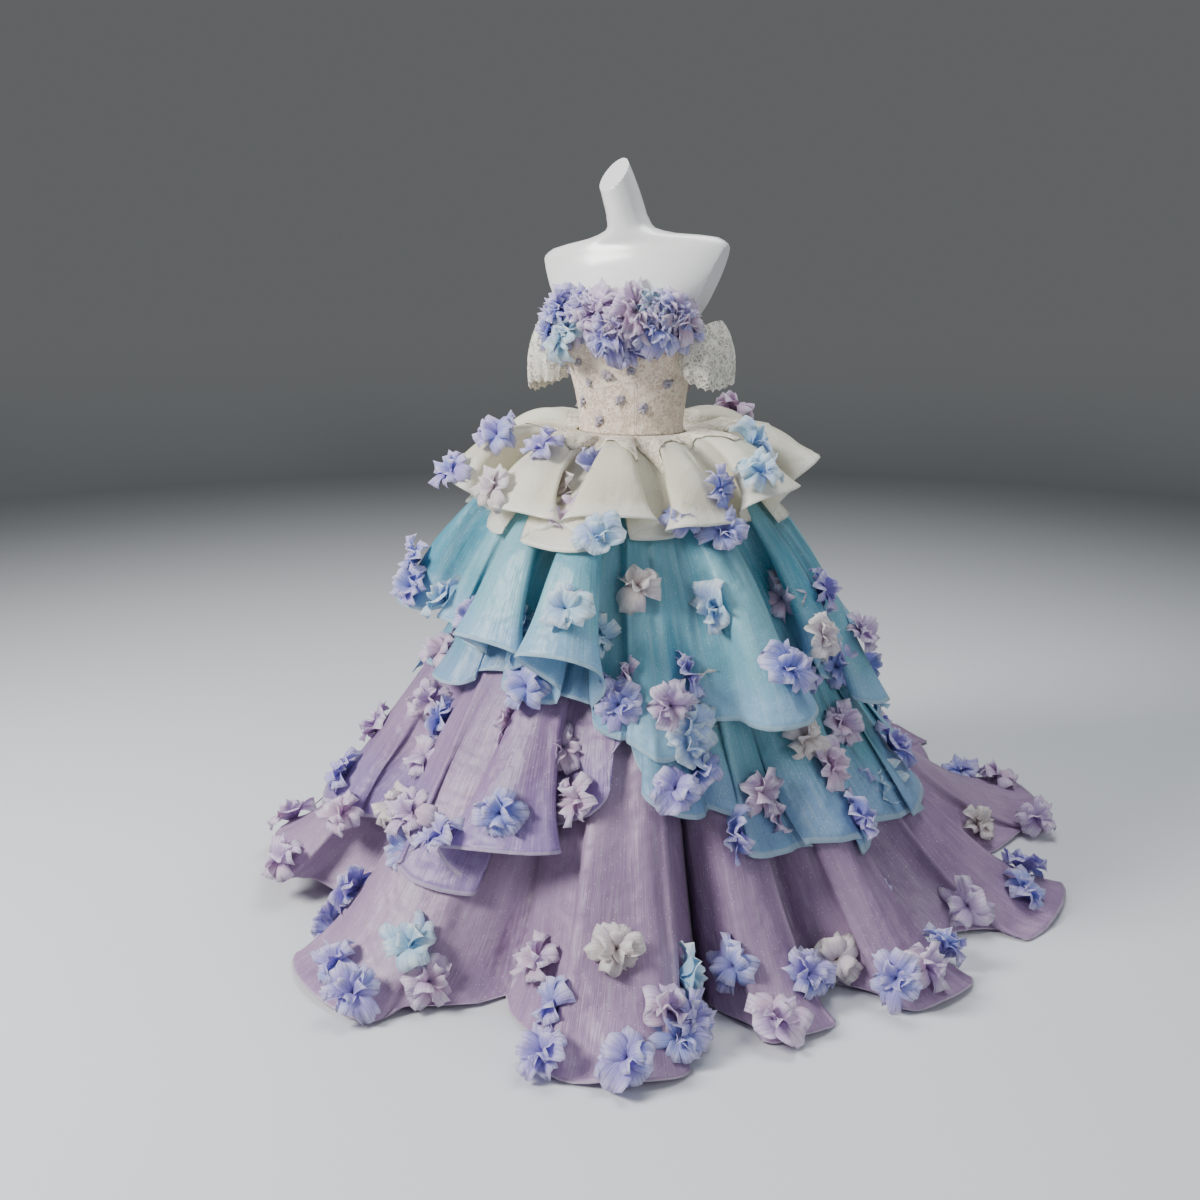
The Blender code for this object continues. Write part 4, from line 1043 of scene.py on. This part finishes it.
# %% The short lilac tier
lay_tier("lilac_upper", LILAC_UPPER, 48, 0.0045, 0.012, 2.0, skirt)
lilac = cut_panels("lilac_upper", LILAC_UPPER, PLUM_CLOTH, ORGANZA_WALL,
                   LILAC_UPPER_CUTS)

# %% The long aqua tier
lay_tier("aqua_lower", AQUA_LOWER, 52, 0.0045, 0.012, 3.0, skirt + lilac)
aqua = cut_panels("aqua_lower", AQUA_LOWER, AQUA_CLOTH, ORGANZA_WALL,
                   AQUA_LOWER_CUTS)

# %% The upper aqua tier
lay_tier("aqua_upper", AQUA_UPPER, 56, 0.0045, 0.014, 4.0, skirt + lilac + aqua)
sky = cut_panels("aqua_upper", AQUA_UPPER, SKY_CLOTH, ORGANZA_WALL,
                   AQUA_UPPER_CUTS)

# %% The ivory peplum
lay_tier("peplum", PEPLUM, 44, 0.0045, 0.014, 5.0, skirt + lilac + aqua + sky)
peplum = cut_panels("peplum", PEPLUM, CREAM_CLOTH, ORGANZA_WALL,
                   PEPLUM_CUTS)

# %% [markdown]
# ## The lace edge below the waist
# The corset's lace runs on over the top of the peplum and ends in long uneven tongues. A
# boolean could cut that edge, but it is simpler to give each column of the ring its own
# length and lay it a few millimetres above the peplum's own points.

# %% Lace edge
LACE_TONGUES = (  # flute, width, length added
    (-1.2, 0.22, 0.16), (-0.5, 0.20, 0.26), (0.15, 0.16, 0.20), (0.62, 0.18, 0.40),
    (1.15, 0.16, 0.30), (1.65, 0.18, 0.38), (2.4, 0.22, 0.20), (3.1, 0.24, 0.24),
    (3.9, 0.24, 0.16), (4.6, 0.26, 0.22), (5.4, 0.24, 0.16), (6.3, 0.28, 0.20),
)


def lace_length(at, count):
    """Share of the peplum's length that the lace covers."""
    reach = 0.24 + 0.012 * math.sin(math.tau * 4.3 * at) + 0.010 * math.sin(math.tau * 7.1 * at)
    for place_at, width, more in LACE_TONGUES:
        aside = (at - place_at + count / 2) % count - count / 2
        reach += more * math.exp(-((aside / width) ** 2))
    return reach


ground = LAID["peplum"]
outward = square_out(ground)
count = len(PEPLUM["flutes"])


def on_peplum(across, down):
    """A point just above the peplum's cloth."""
    column = round(across * count * STEPS) % (count * STEPS)
    row = 0.6 + (ground.shape[0] - 1) * lace_length(column / STEPS, count) * down
    upper = min(int(row), ground.shape[0] - 2)
    share = row - upper
    spot = ground[upper, column] * (1 - share) + ground[upper + 1, column] * share
    rise = outward[upper, column] * (1 - share) + outward[upper + 1, column] * share
    return Vector(spot + rise * 0.0032)


bm = cloth_grid(count * STEPS, 14, on_peplum, 1.4, 0.10)
bmesh.ops.remove_doubles(bm, verts=bm.verts, dist=1e-5)
edge = thicken(piece("waist_lace", bm, EDGE_LACE, ["lace_basque"]), LACE_WALL)
declare_cut(edge, EDGE_CUT)

# %% [markdown]
# ## Fabric flowers
# Each flower is a head of organza petals, hand-sewn so no two match. A petal is a small grid
# bent into a cup with a ruffled rim. A few heads of different build are made once, then
# copied, turned and scaled to each place: that keeps about a hundred flowers light, and the
# finish varies their colour from place to place.


# %% One petal, one head
def petal(bm, layer, rng, size, lean, turn, wide):
    """A petal of a given length. lean is how far it opens, from upright at 0 to flat at 90."""
    made = bmesh.ops.create_grid(bm, x_segments=6, y_segments=5, size=0.5)["verts"]
    phase, other, ruffle = rng.uniform(0, math.tau), rng.uniform(0, math.tau), rng.uniform(0.14, 0.28)
    cup, fold, fray = rng.uniform(-0.15, 0.30), rng.uniform(-0.25, 0.25), rng.uniform(0.04, 0.09)
    spots = {v: (2 * v.co.x, v.co.y + 0.5) for v in made}
    for vertex, (u, v) in spots.items():
        half = wide * size * (0.12 + 0.88 * math.sin(math.pi * min(1.0, v * 0.60 + 0.03)) ** 0.9)
        open_to = math.radians(lean * (0.30 + 0.90 * v))
        rim = 1 - 0.18 * u * u + fray * math.sin(7.5 * u + other) + 0.04 * math.sin(3 * u + phase)
        reach = size * v * (1 + (rim - 1) * v)
        out, up = reach * math.sin(open_to), reach * math.cos(open_to)
        wave = size * v * v * (ruffle * math.sin(3.6 * u + phase) + 0.4 * ruffle * math.sin(8 * u + other))
        up += wave * math.sin(open_to) + cup * size * 0.5 * u * u * v
        out -= wave * math.cos(open_to)
        vertex.co = Vector((half * (u + fold * (u * u - 0.3) * v), -out, up))
    for face in {f for v in made for f in v.link_faces}:
        for loop in face.loops:
            u, v = spots[loop.vert]
            loop[layer].uv = (0.5 + 0.5 * u, v)
    bmesh.ops.rotate(bm, verts=made, cent=(0, 0, 0), matrix=Matrix.Rotation(turn, 3, "Z"))


def head(name, seed, rings):
    """A flower head one unit in radius. Each ring is a number of petals, their size and lean."""
    rng = random.Random(seed)
    bm = bmesh.new()
    layer = bm.loops.layers.uv.new("Petal")
    for number, size, lean, wide in rings:
        start = rng.uniform(0, math.tau)
        for k in range(number):
            turn = start + math.tau * (k + rng.uniform(-0.30, 0.30)) / number
            petal(bm, layer, rng, size * rng.uniform(0.80, 1.15), lean * rng.uniform(0.70, 1.20),
                  turn, wide * rng.uniform(0.80, 1.20))
    mesh = bpy.data.meshes.new(name)
    bm.to_mesh(mesh)
    bm.free()
    return mesh


HEADS = (
    head("open_head", 11, ((5, 1.15, 78, 0.56), (3, 0.95, 44, 0.46))),
    head("full_head", 12, ((6, 1.10, 76, 0.48), (4, 0.95, 42, 0.42))),
    head("cup_head", 13, ((4, 1.20, 62, 0.62), (3, 0.95, 30, 0.46))),
    head("wing_head", 14, ((3, 1.20, 80, 0.64), (3, 1.15, 26, 0.46))),
    head("star_head", 15, ((6, 1.20, 72, 0.36), (4, 0.95, 36, 0.30))),
)
MOTIF = head("motif_head", 31, ((5, 1.0, 92, 0.42), (3, 0.6, 84, 0.40)))
FEATHERY = (
    head("bust_head_a", 21, ((9, 1.20, 84, 0.30), (8, 1.08, 60, 0.28),
                            (6, 0.92, 38, 0.26), (3, 0.74, 18, 0.24))),
    head("bust_head_b", 22, ((8, 1.25, 80, 0.32), (7, 1.05, 54, 0.28),
                            (6, 0.90, 34, 0.26), (3, 0.72, 16, 0.24))),
)
print("heads", [len(m.polygons) for m in HEADS + FEATHERY])

# %% Where the flowers go
Bloom = namedtuple("Bloom", "tint across down size kind", defaults=(0,))
PLACES = {
    "peplum": (
        ("lilac", -1.3, 0.78, 0.038, 1), ("violet", -0.90, 0.60, 0.040, 0),
        ("aqua", 0.62, 0.96, 0.036, 2), ("violet", 2.15, 0.80, 0.036, 4),
        ("aqua", 2.95, 0.84, 0.042, 1), ("lilac", 5.0, 0.80, 0.040, 0),
        ("violet", 0.0, 0.52, 0.036, 1), ("pearl", -0.05, 0.90, 0.038, 4),
        ("pearl", 0.30, 0.74, 0.038, 2), ("lilac", 0.80, 0.92, 0.040, 1),
        ("violet", 0.76, 0.55, 0.040, 0), ("violet", 1.62, 0.90, 0.038, 3),
        ("violet", 2.40, 0.97, 0.036, 4), ("aqua", 3.15, 0.60, 0.038, 2),
        ("violet", -0.95, 0.96, 0.036, 4), ("lilac", 3.7, 0.80, 0.036, 1),
        ("pearl", 4.3, 0.90, 0.036, 2), ("violet", 4.8, 0.95, 0.038, 1),
        ("aqua", 5.9, 0.84, 0.036, 0), ("violet", 6.7, 0.92, 0.036, 4),
    ),
    "aqua_upper": (
        ("violet", -3.0, 0.84, 0.042, 1), ("aqua", 0.0, 0.86, 0.040, 0),
        ("violet", 2.0, 0.88, 0.042, 2), ("lilac", 4.0, 0.84, 0.042, 1),
        ("violet", 6.0, 0.84, 0.042, 0), ("violet", -1.2, 0.92, 0.042, 1),
        ("aqua", -0.7, 0.86, 0.040, 2), ("violet", -0.5, 0.97, 0.042, 0),
        ("aqua", -0.3, 0.78, 0.038, 3), ("aqua", 0.35, 0.80, 0.040, 1),
        ("violet", 0.55, 0.93, 0.040, 4), ("pearl", 0.95, 0.62, 0.040, 3),
        ("lilac", 1.15, 0.90, 0.042, 1), ("aqua", 1.75, 0.72, 0.040, 2),
        ("lilac", 2.7, 0.80, 0.042, 0), ("violet", 3.05, 0.84, 0.042, 1),
        ("violet", 3.7, 0.95, 0.042, 4), ("aqua", 4.5, 0.88, 0.040, 0),
        ("violet", 5.2, 0.95, 0.042, 1), ("lilac", 6.6, 0.93, 0.042, 2),
        ("aqua", 7.4, 0.84, 0.040, 0), ("violet", 8.1, 0.95, 0.042, 1),
        ("lilac", 8.9, 0.86, 0.042, 4), ("violet", 9.5, 0.93, 0.040, 0),
        ("aqua", 1.30, 0.97, 0.040, 0), ("violet", 2.35, 0.94, 0.040, 2),
        ("pearl", 2.9, 0.96, 0.040, 4), ("violet", 4.2, 0.96, 0.042, 1),
        ("lilac", 5.6, 0.90, 0.042, 0), ("violet", 7.0, 0.96, 0.042, 4),
        ("violet", 10.1, 0.92, 0.042, 1), ("aqua", 10.9, 0.95, 0.040, 2),
    ),
    "aqua_lower": (
        ("violet", 1.0, 0.94, 0.040, 0), ("lilac", 2.0, 0.88, 0.042, 1),
        ("violet", 4.0, 0.90, 0.042, 2), ("lilac", 0.8, 0.74, 0.042, 1),
        ("violet", 1.35, 0.70, 0.042, 4), ("pearl", 1.75, 0.72, 0.042, 0),
        ("violet", 1.45, 0.93, 0.040, 3), ("lilac", 2.35, 0.94, 0.042, 1),
        ("violet", 2.7, 0.97, 0.042, 0), ("lilac", 2.9, 0.84, 0.040, 2),
        ("violet", 3.2, 0.95, 0.042, 4), ("lilac", 3.5, 0.80, 0.042, 1),
        ("aqua", 3.8, 0.95, 0.040, 0), ("aqua", 5.0, 0.93, 0.040, 1),
        ("violet", 5.7, 0.86, 0.042, 0), ("lilac", 6.4, 0.95, 0.042, 2),
        ("violet", 7.2, 0.88, 0.042, 4), ("violet", -2.2, 0.90, 0.042, 1),
        ("lilac", -1.4, 0.94, 0.042, 0), ("aqua", -0.4, 0.92, 0.040, 1),
        ("violet", 0.3, 0.95, 0.042, 1), ("aqua", 1.15, 0.84, 0.040, 2),
        ("violet", 1.85, 0.96, 0.042, 0), ("pearl", 2.55, 0.80, 0.040, 1),
        ("violet", 3.35, 0.88, 0.042, 2), ("violet", 4.5, 0.96, 0.042, 1),
        ("lilac", 5.35, 0.96, 0.042, 0), ("violet", 6.9, 0.96, 0.042, 1),
        ("lilac", 7.8, 0.94, 0.042, 0),
    ),
    "lilac_upper": (
        ("violet", 0.0, 0.88, 0.042, 1), ("lilac", 6.0, 0.86, 0.040, 0),
        ("lilac", -0.3, 0.55, 0.042, 2), ("lilac", 0.5, 0.93, 0.042, 1),
        ("violet", -0.7, 0.97, 0.040, 4), ("lilac", -1.2, 0.80, 0.042, 0),
        ("lilac", -1.7, 0.60, 0.042, 1), ("violet", -2.0, 0.90, 0.042, 0),
        ("lilac", -2.4, 0.74, 0.042, 2), ("pearl", -1.5, 0.96, 0.042, 1),
        ("lilac", 0.35, 0.70, 0.040, 4),
        ("violet", -0.1, 0.97, 0.042, 1), ("lilac", -0.95, 0.93, 0.042, 4),
        ("violet", -1.35, 0.66, 0.042, 0), ("lilac", -1.9, 0.97, 0.042, 1),
        ("violet", -2.6, 0.94, 0.042, 2), ("lilac", -3.2, 0.92, 0.042, 1),
        ("violet", 2.0, 0.92, 0.042, 0), ("lilac", 2.9, 0.94, 0.042, 1),
        ("violet", 3.7, 0.90, 0.042, 4), ("lilac", 4.5, 0.95, 0.042, 0),
    ),
    "skirt": (
        ("lilac", 1.08, 0.85, 0.044, 3), ("violet", 1.0, 0.96, 0.042, 0),
        ("violet", 0.0, 0.90, 0.042, 1), ("lilac", 3.0, 0.90, 0.044, 1),
        ("violet", 4.0, 0.92, 0.042, 0), ("lilac", 7.0, 0.92, 0.044, 2),
        ("violet", 0.72, 0.86, 0.042, 0), ("violet", 0.80, 0.97, 0.044, 1),
        ("violet", 1.32, 0.97, 0.042, 4), ("aqua", 1.26, 0.80, 0.042, 2),
        ("pearl", 0.96, 0.74, 0.042, 1), ("violet", 1.12, 0.90, 0.040, 4),
        ("violet", -0.24, 0.80, 0.042, 0), ("violet", -0.30, 0.95, 0.042, 1),
        ("violet", 0.10, 0.97, 0.042, 4), ("aqua", 0.16, 0.80, 0.042, 2),
        ("lilac", 0.34, 0.90, 0.042, 1), ("violet", 2.4, 0.93, 0.042, 0),
        ("violet", 2.8, 0.97, 0.042, 4), ("violet", 3.3, 0.97, 0.042, 1),
        ("lilac", 3.7, 0.90, 0.044, 0), ("violet", 4.3, 0.97, 0.042, 2),
        ("pearl", 4.6, 0.90, 0.042, 1), ("lilac", 5.1, 0.96, 0.044, 0),
        ("violet", 5.7, 0.90, 0.042, 1), ("lilac", 6.3, 0.97, 0.044, 4),
        ("violet", 7.6, 0.97, 0.042, 0), ("lilac", 8.3, 0.90, 0.044, 1),
        ("violet", 9.0, 0.96, 0.042, 2), ("violet", 9.6, 0.90, 0.042, 0),
        ("lilac", 10.1, 0.95, 0.044, 1), ("violet", 10.5, 0.86, 0.042, 4),
        ("lilac", 0.60, 0.82, 0.042, 1), ("violet", 1.66, 0.84, 0.042, 0),
        ("lilac", 1.9, 0.96, 0.042, 2), ("violet", 2.15, 0.86, 0.042, 1),
        ("pearl", 2.6, 0.90, 0.042, 0), ("violet", 3.5, 0.85, 0.042, 2),
        ("lilac", 4.8, 0.97, 0.042, 1), ("violet", 5.4, 0.97, 0.042, 4),
        ("violet", 6.0, 0.96, 0.042, 0), ("violet", 6.7, 0.97, 0.042, 1),
        ("violet", 8.0, 0.96, 0.042, 2), ("lilac", 8.7, 0.97, 0.042, 1),
        ("aqua", 9.3, 0.93, 0.040, 0), ("lilac", 9.9, 0.97, 0.042, 2),
    ),
}
PACKED = {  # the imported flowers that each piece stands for
    ("peplum", "lilac"): (1, 6), ("peplum", "violet"): (2, 4), ("peplum", "aqua"): (3, 5),
    ("aqua_upper", "violet"): (7, 9, 11), ("aqua_upper", "aqua"): (8,), ("aqua_upper", "lilac"): (10,),
    ("aqua_lower", "violet"): (12, 14), ("aqua_lower", "lilac"): (13,),
    ("lilac_upper", "violet"): (15,), ("lilac_upper", "lilac"): (16,),
    ("skirt", "lilac"): (17, 20, 22), ("skirt", "violet"): (18, 19, 21),
}


def sewn_on(bm, mesh, place, normal, size, turn):
    """A copy of a head added to a bmesh, standing on the cloth at a place."""
    before = len(bm.verts)
    bm.from_mesh(mesh)
    bm.verts.ensure_lookup_table()
    stand = normal.to_track_quat("Z", "Y").to_matrix().to_4x4()
    move = Matrix.Translation(place) @ stand @ Matrix.Rotation(turn, 4, "Z") @ Matrix.Scale(size, 4)
    bmesh.ops.transform(bm, matrix=move, verts=bm.verts[before:])
    lowest = min(v.co.z for v in bm.verts[before:])
    bmesh.ops.translate(bm, vec=(0, 0, max(0.0, 0.003 - lowest)), verts=bm.verts[before:])


# %% Flowers on the tiers
FULLNESS = 1.18  # how far the open heads spread past their packed size
rng = random.Random(7)
flowers = 0
for name, places in PLACES.items():
    points, normals = LAID[name], square_out(LAID[name])
    for tint in PETALS:
        chosen = [bloom for bloom in map(Bloom._make, places) if bloom.tint == tint]
        if not chosen:
            continue
        bm = bmesh.new()
        bm.loops.layers.uv.new("Petal")
        for bloom in chosen:
            row = round(bloom.down * (points.shape[0] - 1))
            column = round(bloom.across * STEPS) % points.shape[1]
            normal = Vector(normals[row, column])
            wobble = Vector([rng.uniform(-0.25, 0.25) for _ in range(3)])
            sewn_on(bm, HEADS[bloom.kind], Vector(points[row, column]) + normal * 0.003,
                    (normal + wobble).normalized(), bloom.size * FULLNESS, rng.uniform(0, math.tau))
        nodes = ["flower_%02d" % k for k in PACKED.get((name, tint), ())]
        made = piece(f"{name}_{tint}_flowers", bm, PETALS[tint], nodes)
        thicken(made, PETAL_WALL)
        flowers += len(chosen)
print("flowers on the tiers", flowers)

# %% [markdown]
# ## The flowers along the neckline
# A dense band of large feathery heads hides the corset's top edge. They are the same kind of
# petal, but narrower and in more rings, crowded until their rims mingle.

# %% Neckline flowers
BAND = (  # tint, direction, level, size, packed flower
    ("violet", -57, 1.266, 0.052, 1), ("violet", -37, 1.296, 0.060, 2), ("aqua", -31, 1.250, 0.052, 3),
    ("lilac", -8, 1.292, 0.058, 4), ("violet", 6, 1.250, 0.056, 5), ("lilac", 22, 1.298, 0.063, 6),
    ("violet", 40, 1.266, 0.056, 7), ("lilac", 57, 1.284, 0.054, 8),
    ("violet", -20, 1.306, 0.049, 0), ("violet", -46, 1.238, 0.043, 0), ("aqua", 32, 1.306, 0.047, 0),
    ("violet", 50, 1.294, 0.049, 0), ("violet", 66, 1.262, 0.047, 0), ("violet", -72, 1.274, 0.045, 0),
    ("lilac", 14, 1.268, 0.049, 0), ("violet", 18, 1.224, 0.040, 0),
)
for tint in ("violet", "lilac", "aqua"):
    bm = bmesh.new()
    bm.loops.layers.uv.new("Petal")
    chosen = [row for row in BAND if row[0] == tint]
    for k, (_, direction, level, size, _) in enumerate(chosen):
        spot = corset_point(direction, level + 0.010, 0.002)
        normal = Vector((spot.x, spot.y, 0.07)).normalized()
        sewn_on(bm, FEATHERY[k % 2], spot, normal, size, rng.uniform(0, math.tau))
    nodes = ["bust_flower_%d" % row[4] for row in chosen if row[4]]
    thicken(piece(f"neckline_{tint}_flowers", bm, PETALS[tint], nodes), PETAL_WALL)
    print("neckline", tint, len(chosen))

# %% [markdown]
# ## Small sewn motifs on the corset
# Little grey-lilac embroidered sprigs are sewn on the corded lace. They are modelled and not
# painted, because they stand a millimetre off the lace and catch the light at their rims.

# %% Corset motifs
SPRIGS = (  # direction, level, size
    (-2, 1.178, 0.016), (9, 1.128, 0.014), (-17, 1.080, 0.015), (-31, 1.205, 0.012),
    (-24, 1.160, 0.011), (21, 1.190, 0.012), (33, 1.110, 0.014), (-40, 1.118, 0.013),
    (58, 1.160, 0.014), (80, 1.205, 0.012), (-66, 1.180, 0.013), (-88, 1.105, 0.014),
    (112, 1.150, 0.014), (140, 1.190, 0.013), (165, 1.105, 0.013), (196, 1.165, 0.014),
    (222, 1.120, 0.013), (246, 1.190, 0.012),
)
GREY_THREAD = petals("grey_lilac_thread", (0.30, 0.26, 0.36), (0.48, 0.44, 0.54),
                     (0.70, 0.66, 0.72), (0.52, 0.45, 0.48), 0.15)
bm = bmesh.new()
bm.loops.layers.uv.new("Petal")
for direction, level, size in SPRIGS:
    spot = corset_point(direction, level, 0.0022)
    sewn_on(bm, MOTIF, spot, Vector((spot.x, spot.y, 0.0)).normalized(), size, rng.uniform(0, math.tau))
thicken(piece("corset_motifs", bm, GREY_THREAD), SPRIG_WALL)
print("motifs", len(SPRIGS))
